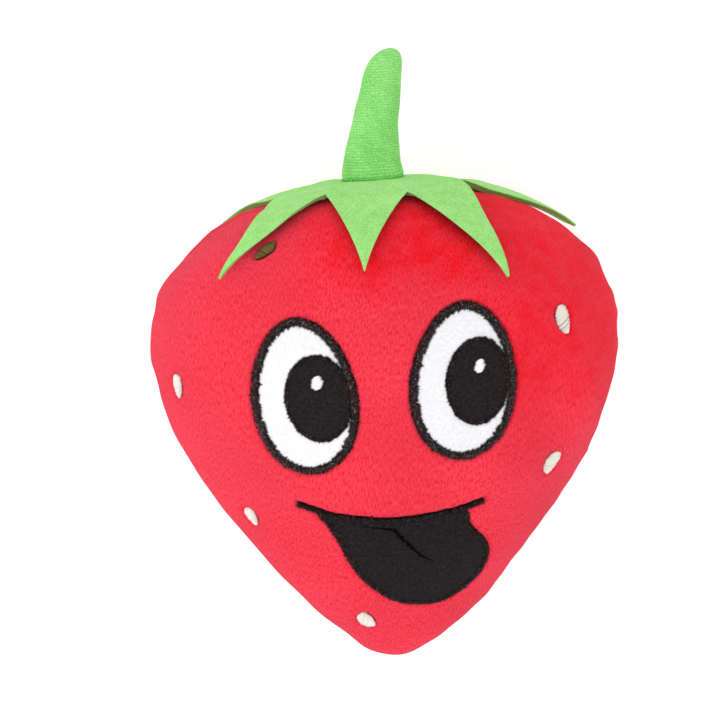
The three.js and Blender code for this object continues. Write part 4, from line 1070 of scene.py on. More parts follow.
def stalk_tube(name, first, last, foot):
    """The ribs from first to last: each is a ridge 0.17 mm high, |sin|, wavering a little, over soft
    dents of the stuffing. The tube has a wall of 1 mm, and at its foot it turns in over the felt."""
    rows = (last - first) * RIB_ROWS + 1
    rib = first + np.arange(rows)[:, None] / RIB_ROWS
    turn = np.linspace(0, 2 * np.pi, STALK_COLUMNS, endpoint=False)[None, :]
    height = np.minimum(rib * RIB, STALK_TOP) + 0 * turn
    smooth = stalk_ring(height, turn, 0)
    ridge = np.abs(np.sin(np.pi * (rib + RIB_WAVER * waves(smooth, RIB_WAVER_SIZE, seed=41))))
    rise = RIB_HEIGHT * ridge + DENT_HEIGHT * waves(smooth, DENT_SIZE, seed=42)
    rise = np.where(height > STALK_TOP - CAP_CLOSING, 0, rise)
    outer, inner = stalk_ring(height, turn, rise), stalk_ring(height, turn, -STALK_WALL)
    if foot:
        tuck = HEM_TUCK * np.clip(1 - height / HEM_HEIGHT, 0, 1) ** 2
        outer[..., 0] -= np.cos(turn) * tuck
        outer[..., 2] -= np.sin(turn) * tuck
        felt_top = draped(outer[0, :, 0] - STAR_X, outer[0, :, 2] - SEAM_Z, FELT_LOW + FELT - HEM_SINK)[:, 1]
        for wall in (outer, inner):
            wall[..., 1] += np.clip(1 - height / HEM_BLEND, 0, 1) * (felt_top - STALK_FOOT)[None, :]
    else:
        inner = inner[:-1]
        inner = np.concatenate([inner, np.broadcast_to(inner[-1].mean(axis=0), inner[-1:].shape)])
        outer[-1] = outer[-1].mean(axis=0)
    total = outer[..., 0].size
    quads = [grid_faces(rows, STALK_COLUMNS, wrap_columns=True),
             grid_faces(rows, STALK_COLUMNS, wrap_columns=True, flip=True, first=total)]
    j = np.arange(STALK_COLUMNS)
    k = (j + 1) % STALK_COLUMNS
    top = total - STALK_COLUMNS
    quads.append(np.stack([total + j, total + k, k, j], axis=-1))
    if foot:
        quads.append(np.stack([top + j, top + k, total + top + k, total + top + j], axis=-1))
    around = np.broadcast_to(turn * STALK_GIRTH, height.shape)
    knit = np.stack([around, height, 1 - ridge], axis=-1).reshape(-1, 3)
    points = np.concatenate([outer.reshape(-1, 3), inner.reshape(-1, 3)])
    piece, kept = mesh_piece(name, points, np.concatenate(quads))
    carry_vectors(piece, "knit", np.concatenate([knit, knit])[kept])
    return piece


def ribbed_knit():
    """Fine ribbed polyester knit: painted shade darkens it between the ribs, each rib crossed by slanting
    loops 0.4 mm wide. Matt, with a little fuzz."""
    made, tree = new_material("green_ribbed_knit")
    lay = node(tree, "ShaderNodeAttribute", {"attribute_name": "knit"})
    parts = node(tree, "ShaderNodeSeparateXYZ", links={0: (lay, "Vector")})
    place = node(tree, "ShaderNodeTexCoord")
    loops = node(tree, "ShaderNodeMapping", links={
        "Vector": (lay, "Vector"), "Scale": (2.6 / MM, 1.3 / MM, 0)})
    loop = node(tree, "ShaderNodeTexNoise", links={"Vector": (loops, 0), "Scale": 1.0, "Detail": 2.0})
    fuzz = node(tree, "ShaderNodeTexNoise", links={
        "Vector": (place, "Object"), "Scale": 1.6 / MM, "Detail": 3.0})
    patch = node(tree, "ShaderNodeTexNoise", links={
        "Vector": (place, "Object"), "Scale": 0.16 / MM, "Detail": 2.0})
    grain = node(tree, "ShaderNodeMath", {"operation": "MULTIPLY_ADD"}, {
        0: (loop, "Fac"), 1: 1.2, 2: (fuzz, "Fac")})
    grain_patch = node(tree, "ShaderNodeMath", {"operation": "MULTIPLY_ADD"}, {
        0: (patch, "Fac"), 1: 0.7, 2: (grain, 0)})
    tone = node(tree, "ShaderNodeMapRange", links={
        "Value": (grain_patch, 0), "From Min": 1.1, "From Max": 1.75})
    face = node(tree, "ShaderNodeMix", {"data_type": "RGBA"}, {
        0: (tone, 0), 6: srgb("#70c258"), 7: srgb("#a0ea8a")})
    # Painted shade between the ribs: the darker green grows with the knit vector's third value, 1 at the
    # valleys.
    between = node(tree, "ShaderNodeMapRange", links={
        "Value": (parts, "Z"), "From Min": 0.3, "From Max": 1.0, "To Min": 0.0, "To Max": 0.55})
    colour = node(tree, "ShaderNodeMix", {"data_type": "RGBA"}, {
        0: (between, 0), 6: (face, 2), 7: srgb("#60ba50")})
    bump = node(tree, "ShaderNodeBump", links={"Height": (grain, 0), "Strength": 0.6, "Distance": 0.12 * MM})
    shader = node(tree, "ShaderNodeBsdfPrincipled", links={
        "Base Color": (colour, 2), "Roughness": 0.9, "Specular IOR Level": 0.15, "Sheen Weight": 0.3,
        "Sheen Roughness": 0.5, "Sheen Tint": srgb("#d8f5c4"), "Normal": (bump, 0)})
    node(tree, "ShaderNodeOutputMaterial", links={"Surface": (shader, 0)})
    return made


green_knit = ribbed_knit()
stalk_foot = stalk_tube("stalk_foot", 0, STALK_SPLIT, foot=True)
stalk = stalk_tube("stalk", STALK_SPLIT, math.ceil(STALK_TOP / RIB), foot=False)
for piece in (stalk_foot, stalk):
    piece.data.materials.append(green_knit)
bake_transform(stalk_foot)
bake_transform(stalk)
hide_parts("stem_hem")
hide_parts("stem_cover", "stem_filling")


# Cloth patches of the face
# Eyes, pupils and mouth are patches of thin cloth laid on the plush, drawn tight by the stitching round
# them, so they pucker slightly at their rims.
PATCH_RINGS = 26
RIM_RADIUS = 9 * MM
RIM_RIPPLE = 2.4 * MM
PATCH_WAVE = 13 * MM
WARP = 0.35 * MM
WEFT = 0.5 * MM
# At scale 1 a wave texture has this many bands to a metre.
WAVE_BANDS = 20 / (2 * np.pi)


def cloth_patch(name, centre, outline, low, high, pucker):
    """Rings from the middle to the outline, closed below. The top carries slow waves, and ripples that
    run in from the rim and grow as the sixth power of the distance from the middle."""
    share = np.concatenate([np.linspace(0, 1, PATCH_RINGS + 1), [1.0, 0.5, 0.0]])[:, None]
    spots = centre + (outline[None] - centre) * share[..., None]
    way = np.linspace(0, 2 * np.pi, len(outline), endpoint=False)[None, :]
    flat = np.concatenate([spots, np.zeros_like(spots[..., :1])], axis=-1)
    round_rim = np.stack([np.cos(way), np.sin(way), 0 * way], axis=-1) * RIM_RADIUS
    ripple = 0.5 * waves(round_rim, RIM_RIPPLE, seed=51) * share ** 6
    lift = high + pucker * (waves(flat, PATCH_WAVE, seed=52) * (1 - share ** 4) + ripple)
    lift = np.where(np.arange(len(share))[:, None] > PATCH_RINGS, low, lift)
    points = on_body(FACE, spots[..., 0], spots[..., 1], lift)
    quads = grid_faces(*points.shape[:2], wrap_columns=True, flip=True)
    return mesh_piece(name, points.reshape(-1, 3), quads)[0]


def patch_cloth(name, dark, light, stripe, weave_share, lint=None):
    """Thin brushed polyester cloth: warp threads 0.35 mm apart, crossed by weaker weft threads 0.5 mm
    apart, with specks of fuzz, and on the mouth a few curled hairs of lint: thin lines where a slow noise
    passes through its middle value."""
    made, tree = new_material(name)
    place = node(tree, "ShaderNodeTexCoord")
    lay = node(tree, "ShaderNodeMapping", links={
        "Vector": (place, "Object"), "Rotation": (0, 0, math.radians(stripe))})
    warp = node(tree, "ShaderNodeTexWave", {"bands_direction": "X"}, {
        "Vector": (lay, 0), "Scale": 1 / (WARP * WAVE_BANDS), "Distortion": 2.5, "Detail": 2.0})
    weft = node(tree, "ShaderNodeTexWave", {"bands_direction": "Y"}, {
        "Vector": (lay, 0), "Scale": 1 / (WEFT * WAVE_BANDS), "Distortion": 2.0, "Detail": 2.0})
    fuzz = node(tree, "ShaderNodeTexNoise", links={
        "Vector": (place, "Object"), "Scale": 1.3 / MM, "Detail": 4.0})
    threads = node(tree, "ShaderNodeMath", {"operation": "MULTIPLY_ADD"}, {
        0: (weft, "Fac"), 1: 0.5, 2: (warp, "Fac")})
    weave = node(tree, "ShaderNodeMath", {"operation": "MULTIPLY"}, {0: (threads, 0), 1: weave_share})
    height = node(tree, "ShaderNodeMath", {"operation": "MULTIPLY_ADD"}, {
        0: (fuzz, "Fac"), 1: 4.0, 2: (weave, 0)})
    tone = node(tree, "ShaderNodeMapRange", links={"Value": (height, 0), "From Min": 1.7, "From Max": 3.6})
    colour = node(tree, "ShaderNodeMix", {"data_type": "RGBA"}, {
        0: (tone, 0), 6: srgb(dark), 7: srgb(light)})
    if lint:
        curl = node(tree, "ShaderNodeTexNoise", links={
            "Vector": (place, "Object"), "Scale": 0.19 / MM, "Detail": 1.0})
        off_line = node(tree, "ShaderNodeMath", {"operation": "SUBTRACT"}, {0: (curl, "Fac"), 1: 0.5})
        gap = node(tree, "ShaderNodeMath", {"operation": "ABSOLUTE"}, {0: (off_line, 0)})
        line = node(tree, "ShaderNodeMapRange", links={
            "Value": (gap, 0), "From Min": 0.003, "From Max": 0.012, "To Min": 1.0, "To Max": 0.0})
        spot = node(tree, "ShaderNodeTexNoise", links={
            "Vector": (place, "Object"), "Scale": 0.33 / MM, "Detail": 2.0})
        part = node(tree, "ShaderNodeMapRange", links={
            "Value": (spot, "Fac"), "From Min": 0.54, "From Max": 0.64, "To Min": 0.0, "To Max": 0.45})
        hair = node(tree, "ShaderNodeMath", {"operation": "MULTIPLY"}, {0: (line, 0), 1: (part, 0)})
        colour = node(tree, "ShaderNodeMix", {"data_type": "RGBA"}, {
            0: (hair, 0), 6: (colour, 2), 7: srgb(lint)})
    bump = node(tree, "ShaderNodeBump", links={
        "Height": (height, 0), "Strength": 0.35, "Distance": 0.04 * MM})
    shader = node(tree, "ShaderNodeBsdfPrincipled", links={
        "Base Color": (colour, 2), "Roughness": 0.9, "Specular IOR Level": 0.2, "Normal": (bump, 0)})
    node(tree, "ShaderNodeOutputMaterial", links={"Surface": (shader, 0)})
    return made


white_cloth = patch_cloth("white_brushed_cloth", "#e4e3e6", "#f7f7f9", stripe=8, weave_share=0.5)
black_cloth = patch_cloth("black_twill_cloth", "#030202", "#262122", stripe=35, weave_share=1.0)
mouth_cloth = patch_cloth("black_brushed_cloth", "#040202", "#262022", stripe=82, weave_share=0.7,
                          lint="#3c3739")


def face_piece(piece, material, slot, *nodes):
    """Finishes a piece of the face: its material, the replaced nodes hidden, and its place baked into its
    mesh.
    """
    piece.data.materials.append(material)
    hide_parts(*nodes)
    give_way(piece)


def eye_rim(name):
    """The middle line of an eye's stitched border."""
    tilt = EYES[name]["tilt"]
    return EYE_MIDDLES[name] + egg(EYE_WIDTH - EYE_BORDER, EYE_HEIGHT - EYE_BORDER, tilt, EYE_EGG)


def pupil_middle(name):
    """The middle of a pupil, which looks aside by shares of the eye's half width and height."""
    return EYE_MIDDLES[name] + np.array(EYES[name]["pupil"]) * [EYE_WIDTH / 2, EYE_HEIGHT / 2]


def pupil_rim(name):
    """The middle line of a pupil's stitched border."""
    eye = EYES[name]
    wide, high = PUPIL_WIDTH * eye["wide"] - PUPIL_BORDER, PUPIL_HEIGHT - PUPIL_BORDER
    return pupil_middle(name) + egg(wide, high, eye["tilt"])


for name in EYES:
    eye_cloth = cloth_patch(f"eye_cloth_{name}", EYE_MIDDLES[name], eye_rim(name), low=-0.75 * MM,
                            high=-0.1 * MM, pucker=0.1 * MM)
    face_piece(eye_cloth, white_cloth, "white_cloth", f"eye_white_{name}")
    pupil_cloth = cloth_patch(f"pupil_cloth_{name}", pupil_middle(name), pupil_rim(name), low=-0.2 * MM,
                              high=0.3 * MM, pucker=0.08 * MM)
    face_piece(pupil_cloth, black_cloth, "black_cloth", f"pupil_{name}")
mouth_patch = cloth_patch("mouth_cloth", on_mouth((0.12, -0.5)), even(MOUTH_OUTLINE, count=300, closed=True),
                          low=-0.7 * MM, high=-0.05 * MM, pucker=0.12 * MM)
face_piece(mouth_patch, mouth_cloth, "black_cloth", "mouth_patch")


# Satin stitching of the face
# Rayon thread laid side by side across a band, two to three stitches to a millimetre, tight and slightly
# glossy. No two stitches are quite as long, so the edges are ragged.
STITCH = 0.42 * MM
OVAL_STITCH = 0.36 * MM
STITCH_ROWS = 4
STITCH_REACH = 0.27 * MM
STITCH_NOTCH = 0.55 * MM
STITCH_VALLEY = 0.12 * MM
BARE_DEPTH = 0.35 * MM
FULL_RAG_HALF = 1.2 * MM
FULL_CROWN_HALF = 0.8 * MM
CROWN_POWER = 2.4
SLANT = math.radians(14)
BAND_RAG = 0.2 * MM
OVAL_RAG = 0.14 * MM
OVAL_CROWN = 0.35 * MM
OVAL_EDGE = -0.2 * MM
OVAL_LOW = -0.9 * MM
SMILE_WIDTH = 1.5 * MM
TONGUE_EDGE_WIDTH = 1.4 * MM
TONGUE_EDGE_INWARD = 0.6 * MM
CREASE_AND_SHADOW_WIDTH = 0.95 * MM


def satin_band(name, side, path, cross, half, edge, crown, low, seed, closed, rag, gaps=()):
    """Cross-sections along a path, four to a stitch: a crown edge + (crown - edge)(1 - |t|^2.4), lower
    between the stitches, closed below. half is the half width at each of the path's points, and cross
    points from the path to its left there. The stitches in gaps lie bare and sunk."""
    draw = np.random.default_rng(seed)
    stitch, phase = np.divmod(np.arange(len(path)), STITCH_ROWS)
    reach = draw.normal(STITCH_REACH, rag, (stitch[-1] + 1, 2))
    strand = draw.uniform(0, 1, stitch[-1] + 1)[stitch][:, None]
    valley = np.array([1.0, 0.45, 0.0, 0.45])[phase][:, None]
    bare = np.isin(stitch, gaps).astype(float)[:, None]
    half = half[:, None]
    t = np.concatenate([np.linspace(-1, 1, 9), [0.92, 0, -0.92]])[None, :]
    ends = np.where(t > 0, reach[stitch, :1], reach[stitch, 1:]) - STITCH_NOTCH * valley
    width = np.maximum(half + ends * np.minimum(half, FULL_RAG_HALF) / FULL_RAG_HALF, 0) * t
    full = np.clip(half / FULL_CROWN_HALF, 0, 1) ** 0.5
    lift = edge + (crown - edge) * (1 - np.abs(t) ** CROWN_POWER) * full
    lift = lift - STITCH_VALLEY * valley - BARE_DEPTH * bare * (np.abs(t) < 0.9)
    lift = np.where(np.arange(t.size)[None, :] >= 9, low, lift)
    spots = path[:, None] + cross[:, None] * width[..., None]
    points = on_body(side, spots[..., 0], spots[..., 1], lift)
    if not closed:
        points[0], points[-1] = points[0].mean(axis=0), points[-1].mean(axis=0)
    quads = grid_faces(*points.shape[:2], wrap_rows=closed, wrap_columns=True, flip=side == FACE)
    tone = np.stack([np.broadcast_to(value, width.shape) for value in (strand, valley, bare)], axis=-1)
    piece, kept = mesh_piece(name, points.reshape(-1, 3), quads)
    carry_vectors(piece, "thread", tone.reshape(-1, 3)[kept])
    return piece


def to_left(path, closed):
    """Unit steps square to a path, to its left."""
    step = (np.roll(path, -1, axis=0) - np.roll(path, 1, axis=0)) if closed else np.gradient(path, axis=0)
    step = unit(step)
    return np.stack([-step[:, 1], step[:, 0]], axis=-1)


def band_path(path, closed):
    """The path with four points to each whole stitch."""
    ring = np.concatenate([path, path[:1]]) if closed else path
    length = np.linalg.norm(np.diff(ring, axis=0), axis=1).sum()
    return even(path, STITCH_ROWS * max(round(length / STITCH), 3) + (0 if closed else 1), closed)


def thread_material(name, dark, light, fleck, flecks_from, sink, shine=0.15):
    """Rayon embroidery thread: strands vary a little in tone, painted shade darkens the valleys between
    them and the bare gaps, and painted highlights stand for twisted filaments that catch the light, as small
    flecks 0.3 mm long."""
    made, tree = new_material(name)
    lay = node(tree, "ShaderNodeAttribute", {"attribute_name": "thread"})
    parts = node(tree, "ShaderNodeSeparateXYZ", links={0: (lay, "Vector")})
    place = node(tree, "ShaderNodeTexCoord")
    twist = node(tree, "ShaderNodeTexNoise", links={
        "Vector": (place, "Object"), "Scale": 2.6 / MM, "Detail": 3.0})
    glint = node(tree, "ShaderNodeTexNoise", links={
        "Vector": (place, "Object"), "Scale": 3.3 / MM, "Detail": 1.0})
    body = node(tree, "ShaderNodeMix", {"data_type": "RGBA"}, {
        0: (parts, "X"), 6: srgb(dark), 7: srgb(light)})
    # Painted shade: the valleys between stitches, scaled by sink, and the bare gaps are mixed towards a dark
    # brown.
    shade = node(tree, "ShaderNodeMath", {"operation": "MULTIPLY"}, {0: (parts, "Y"), 1: sink})
    bare = node(tree, "ShaderNodeMath", {"operation": "MULTIPLY"}, {0: (parts, "Z"), 1: 0.5})
    gap = node(tree, "ShaderNodeMath", {"operation": "MAXIMUM"}, {0: (shade, 0), 1: (bare, 0)})
    sunk = node(tree, "ShaderNodeMix", {"data_type": "RGBA"}, {0: (gap, 0), 6: (body, 2), 7: srgb("#241c1c")})
    # Painted highlights: light flecks of the fleck colour where the glint noise is high.
    painted_highlight = node(tree, "ShaderNodeMapRange", links={
        "Value": (glint, "Fac"), "From Min": flecks_from, "From Max": flecks_from + 0.06, "To Min": 0.0,
        "To Max": 0.7})
    colour = node(tree, "ShaderNodeMix", {"data_type": "RGBA"}, {
        0: (painted_highlight, 0), 6: (sunk, 2), 7: srgb(fleck)})
    bump = node(tree, "ShaderNodeBump", links={
        "Height": (twist, "Fac"), "Strength": 0.5, "Distance": 0.08 * MM})
    shader = node(tree, "ShaderNodeBsdfPrincipled", links={
        "Base Color": (colour, 2), "Roughness": 0.6, "Specular IOR Level": shine, "Normal": (bump, 0)})
    node(tree, "ShaderNodeOutputMaterial", links={"Surface": (shader, 0)})
    return made


# sink sets how dark the painted shade between stitches is, and fleck is the colour of the painted highlights.
black_thread = thread_material("black_rayon_thread", "#080202", "#1c0a0b", "#b8a6a8",
                               flecks_from=0.632, sink=0.35)
mouth_thread = thread_material("black_fine_thread", "#0a0606", "#261617", "#857d7f",
                               flecks_from=0.655, sink=0.3, shine=0.06)
crease_and_shade_thread = thread_material("black_matt_thread", "#060405", "#0b0909", "#060505",
                                flecks_from=0.7, sink=0.3, shine=0.0)
white_thread = thread_material("white_rayon_thread", "#f4f3f4", "#fffefd", "#ffffff",
                               flecks_from=0.7, sink=0.06)
cream_thread = thread_material("cream_rayon_thread", "#eee4d6", "#fdf9f1", "#fffdf8",
                               flecks_from=0.62, sink=0.24)
# Cream thread with the left leaf's shade painted in, as a dark olive-brown.
seed_thread_painted_shade = thread_material("cream_rayon_thread_painted_shade", "#665229", "#826a3a", "#a08c60",
                               flecks_from=0.62, sink=0.2)


def outline_band(name, path, width, edge, crown, low, seed, closed, cad_node, thread, taper=4, rag=BAND_RAG):
    """A band of one width along a path. An open one narrows to its ends over taper points."""
    path = band_path(path, closed)
    half = np.full(len(path), width / 2)
    if not closed:
        rank = np.arange(len(path))
        half *= np.clip(np.minimum(rank, rank[::-1]) / taper, 0, 1) ** 0.5
    piece = satin_band(name, FACE, path, to_left(path, closed), half, edge, crown, low, seed, closed, rag)
    face_piece(piece, thread, "black_thread", cad_node)


def stitched_oval(name, side, centre, length, width, turn, seed, point, base=0.0, gaps=()):
    """An oval filled with slanting stitches across it, narrower towards its lower end by point."""
    share = np.linspace(-1, 1, STITCH_ROWS * round(length / OVAL_STITCH) + 1)
    slope = slope_frame(side, centre)
    path = centre + turned(np.stack([0 * share, share * length / 2], axis=-1), turn) @ slope
    cross = turned(np.array([[-math.cos(SLANT), -math.sin(SLANT)]]), turn) @ slope
    half = width / 2 * seed_half(share, point)
    return satin_band(name, side, path, np.repeat(cross, len(path), axis=0), half, base + OVAL_EDGE,
                      base + OVAL_CROWN, base + OVAL_LOW, seed, False, OVAL_RAG, gaps)


for name, eye in EYES.items():
    outline_band(f"eye_satin_{name}", eye_rim(name), EYE_BORDER, edge=0.05 * MM, crown=0.6 * MM,
                 low=-0.8 * MM, seed=61, closed=True, cad_node=f"eye_border_{name}", thread=black_thread)
    outline_band(f"pupil_satin_{name}", pupil_rim(name), PUPIL_BORDER, edge=0.1 * MM, crown=0.5 * MM,
                 low=-0.3 * MM, seed=62, closed=True, cad_node=f"pupil_border_{name}", thread=mouth_thread)
    spot = pupil_middle(name) + np.array(eye["glint"]) * [PUPIL_WIDTH / 2, PUPIL_HEIGHT / 2]
    glint = stitched_oval(f"glint_satin_{name}", FACE, spot, GLINT_HEIGHT, GLINT_WIDTHS[name], eye["tilt"],
                          seed=63, point=0, base=0.55 * MM)
    face_piece(glint, white_thread, "white_thread", f"eye_glint_{name}")
outline_band("smile_satin", SMILE_PATH, SMILE_WIDTH, edge=0.05 * MM, crown=0.6 * MM, low=-0.8 * MM, seed=64,
             closed=False, cad_node="smile_stitch", thread=mouth_thread, rag=0.24 * MM)
tongue_edge = even(MOUTH_OUTLINE[:(len(TONGUE) - 1) * MOUTH_STEPS + 1], count=400)
tongue_edge = tongue_edge + TONGUE_EDGE_INWARD * to_left(tongue_edge, closed=False)
outline_band("mouth_satin", tongue_edge, TONGUE_EDGE_WIDTH, edge=0.0, crown=0.2 * MM, low=-0.8 * MM, seed=65,
             closed=False, cad_node="mouth_border", thread=mouth_thread, rag=0.22 * MM)
# The tongue's embroidered crease; its first, level stretch under the smile is painted shadow of the raised
# smile band.
outline_band("crease_and_smile_shadow_satin", smooth_curve(on_mouth(CREASE_AND_SMILE_SHADOW), count=30), CREASE_AND_SHADOW_WIDTH, edge=0.0,
             crown=0.2 * MM, low=-0.4 * MM, seed=66, closed=False, cad_node="tongue_crease",
             thread=crease_and_shade_thread, taper=110, rag=0.45 * MM)


# Seeds
# Pointed ovals of cream satin stitching straight through the plush. The pile is stitched down round
# # them, and here and there two strands have drawn apart. The seed beside the left leaf has the leaf's shade
# # painted into its thread, as a dark olive-brown.
SHADED_SEED = 5
SEED_GAPS = {FACE: [(6, 9), (), (), (), (), (7,)], BACK: [(), (11,), (), (6,), (), ()]}
for seed_side, label in ((FACE, "front"), (BACK, "back")):
    for number, (across, up, turn, long, wide) in enumerate(SEEDS[seed_side]):
        seed = stitched_oval(f"satin_seed_{label}_{number + 1}", seed_side, on_face((across, up)),
                             SEED_LENGTH * long, SEED_WIDTH * wide, turn, seed=70 + number, point=SEED_POINT,
                             gaps=SEED_GAPS[seed_side][number])
        if seed_side == FACE:
            # The seed beside the left leaf is painted dark olive-brown for the leaf's shade on it.
            thread = seed_thread_painted_shade if number == SHADED_SEED else cream_thread
            face_piece(seed, thread, "cream_thread", f"seed_front_{number + 1}")
        else:
            seed.data.materials.append(cream_thread)
            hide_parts(f"seed_back_{number + 1}")
            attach(seed, "root")


# Wadding and squeaker
# Polyester wadding fills the toy on both sides of the squeaker: a blown plastic bellows with a reed
# whistle pressed into its mouth. They are seen only where the toy is cut open.
WADDING_VOXEL = 2.2 * MM
CLUMP_SINK = 0.35 * MM
CLUMP_SHARE = 0.7
CLUMP_SIZE = 8 * MM
BELLOWS_WALL = 1 * MM
BELLOWS_FOLDS = 2
BELLOWS_FOLD_DEPTH = 2.4 * MM
BELLOWS_CORNER = 1.5 * BELLOWS_WALL
BELLOWS_MOUTH_ROOM = 1.5 * MM
BELLOWS_ROWS = 97
BELLOWS_COLUMNS = 96


def wadding(name, source):
    """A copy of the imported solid, remeshed at 2.2 mm, its surface drawn in by clumps 8 mm across."""
    copy = bmesh.new()
    copy.from_mesh(frame["nodes"][source].data)
    bmesh.ops.remove_doubles(copy, verts=copy.verts, dist=WELD)
    data = bpy.data.meshes.new(name)
    copy.to_mesh(data)
    copy.free()
    piece = bpy.data.objects.new(name, data)
    bpy.context.scene.collection.objects.link(piece)
    remesh = piece.modifiers.new("remesh", "REMESH")
    remesh.mode = "VOXEL"
    remesh.voxel_size = WADDING_VOXEL
    depsgraph = bpy.context.evaluated_depsgraph_get()
    solid = bpy.data.meshes.new_from_object(piece.evaluated_get(depsgraph), depsgraph=depsgraph)
    piece.modifiers.clear()
    piece.data = solid
    count = len(solid.vertices)
    place, normal = np.empty(count * 3, np.float32), np.empty(count * 3, np.float32)
    solid.vertices.foreach_get("co", place)
    solid.vertex_normals.foreach_get("vector", normal)
    place, normal = place.reshape(-1, 3).astype(float), normal.reshape(-1, 3)
    clumps = -CLUMP_SINK * (1 + CLUMP_SHARE * waves(place, CLUMP_SIZE, seed=81, count=12))
    solid.vertices.foreach_set("co", (place + normal * clumps[:, None]).astype(np.float32).reshape(-1))
    solid.polygons.foreach_set("use_smooth", np.ones(len(solid.polygons), bool))
    solid.update()
    return piece


def fibre_wadding():
    """Loose white polyester fibre: matt, mottled where clumps 7 mm across shade each other."""
    made, tree = new_material("polyester_wadding")
    place = node(tree, "ShaderNodeTexCoord")
    clump = node(tree, "ShaderNodeTexNoise", links={
        "Vector": (place, "Object"), "Scale": 0.14 / MM, "Detail": 6.0})
    fibre = node(tree, "ShaderNodeTexNoise", links={
        "Vector": (place, "Object"), "Scale": 1.1 / MM, "Detail": 3.0, "Distortion": 3.0})
    height = node(tree, "ShaderNodeMath", {"operation": "MULTIPLY_ADD"}, {
        0: (fibre, "Fac"), 1: 0.4, 2: (clump, "Fac")})
    colour = node(tree, "ShaderNodeMix", {"data_type": "RGBA"}, {
        0: (height, 0), 6: srgb("#d9d8d4"), 7: srgb("#fbfaf7")})
    bump = node(tree, "ShaderNodeBump", links={"Height": (height, 0), "Strength": 0.8, "Distance": 0.6 * MM})
    shader = node(tree, "ShaderNodeBsdfPrincipled", links={
        "Base Color": (colour, 2), "Roughness": 1.0, "Sheen Weight": 0.3, "Normal": (bump, 0)})
    node(tree, "ShaderNodeOutputMaterial", links={"Surface": (shader, 0)})
    return made


def blown_plastic():
    """Milky blown polyethylene: a soft gloss, slightly cloudy, with clouds 4.5 mm across."""
    made, tree = new_material("milky_polyethylene")
    place = node(tree, "ShaderNodeTexCoord")
    cloud = node(tree, "ShaderNodeTexNoise", links={
        "Vector": (place, "Object"), "Scale": 0.22 / MM, "Detail": 3.0})
    colour = node(tree, "ShaderNodeMix", {"data_type": "RGBA"}, {
        0: (cloud, "Fac"), 6: srgb("#d6d8d6"), 7: srgb("#eceeea")})
    bump = node(tree, "ShaderNodeBump", links={
        "Height": (cloud, "Fac"), "Strength": 0.15, "Distance": 0.1 * MM})
    shader = node(tree, "ShaderNodeBsdfPrincipled", links={
        "Base Color": (colour, 2), "Roughness": 0.4, "IOR": 1.51, "Subsurface Weight": 0.2,
        "Subsurface Radius": (1.0, 1.0, 1.0), "Subsurface Scale": 1 * MM, "Normal": (bump, 0)})
    node(tree, "ShaderNodeOutputMaterial", links={"Surface": (shader, 0)})
    return made


def bellows():
    """A turned shell of 1 mm: two rounded folds, (cos - 1) / 2 of the fold's depth, between a closed foot
    and a top with the whistle's mouth."""
    low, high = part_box("squeaker_bulb")
    middle_x, middle_y = (low[0] + high[0]) / 2, (low[1] + high[1]) / 2
    radius, wall = (high[0] - low[0]) / 2, BELLOWS_WALL
    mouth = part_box("whistle_wedge")[1][0] + BELLOWS_MOUTH_ROOM
    share = np.linspace(0, 1, BELLOWS_ROWS)
    waist = radius - BELLOWS_FOLD_DEPTH * (1 - np.cos(2 * np.pi * BELLOWS_FOLDS * share)) / 2
    side = np.stack([waist, low[2] + wall + (high[2] - low[2] - 2 * wall) * share], axis=-1)
    outer = np.concatenate([[[0, low[2]], [radius - BELLOWS_CORNER, low[2]]], side,
                            [[radius - BELLOWS_CORNER, high[2]], [mouth, high[2]]]])
    inner = np.concatenate([[[mouth, high[2] - wall]], (side - [wall, 0])[::-1], [[0, low[2] + wall]]])
    profile = np.concatenate([outer, inner])
    turn = np.linspace(0, 2 * np.pi, BELLOWS_COLUMNS, endpoint=False)[None, :]
    r, z = profile[:, :1], profile[:, 1:]
    points = np.stack([middle_x + r * np.cos(turn), middle_y + r * np.sin(turn), z + 0 * turn], axis=-1)
    quads = grid_faces(*points.shape[:2], wrap_columns=True)
    return mesh_piece("squeaker_bellows", points.reshape(-1, 3), quads)[0]


fluff, plastic = fibre_wadding(), blown_plastic()
face_wadding, back_wadding = wadding("face_wadding", "front_filling"), wadding("back_wadding", "back_filling")
for piece, cad_node in ((face_wadding, "front_filling"), (back_wadding, "back_filling")):
    piece.data.materials.append(fluff)
    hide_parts(cad_node)
    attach(piece, "root")
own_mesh(face_wadding)
bulb = bellows()
bulb.data.materials.append(plastic)
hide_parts("squeaker_bulb")
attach(bulb, "root")
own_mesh(bulb)
for cad_node in ("whistle_housing", "whistle_wedge", "whistle_reed"):
    for slot in frame["nodes"][cad_node].material_slots:
        slot.material = plastic


# Hand stitching
# The filling went in through a gap in the right side seam, which is whipped shut, and the stalk is
# slip-stitched down to the felt round its foot.
CLOSING_STITCHES = 9
CLOSING_STITCH_POINTS = 16
CLOSING_START_SHARE = 0.36
CLOSING_LENGTH = 34 * MM
CLOSING_HALF = 1.5 * MM
CLOSING_LIFT = 0.05 * MM
CLOSING_RADIUS = 0.3 * MM
FOOT_STITCHES = 30
FOOT_STITCH_POINTS = 7
FOOT_RING = 8.75 * MM
FOOT_INWARD = 0.75 * MM
FOOT_BOW = 0.25 * MM
FOOT_CLIMB = 0.5 * MM
FOOT_RADIUS = 0.17 * MM
THREAD_SIDES = 6


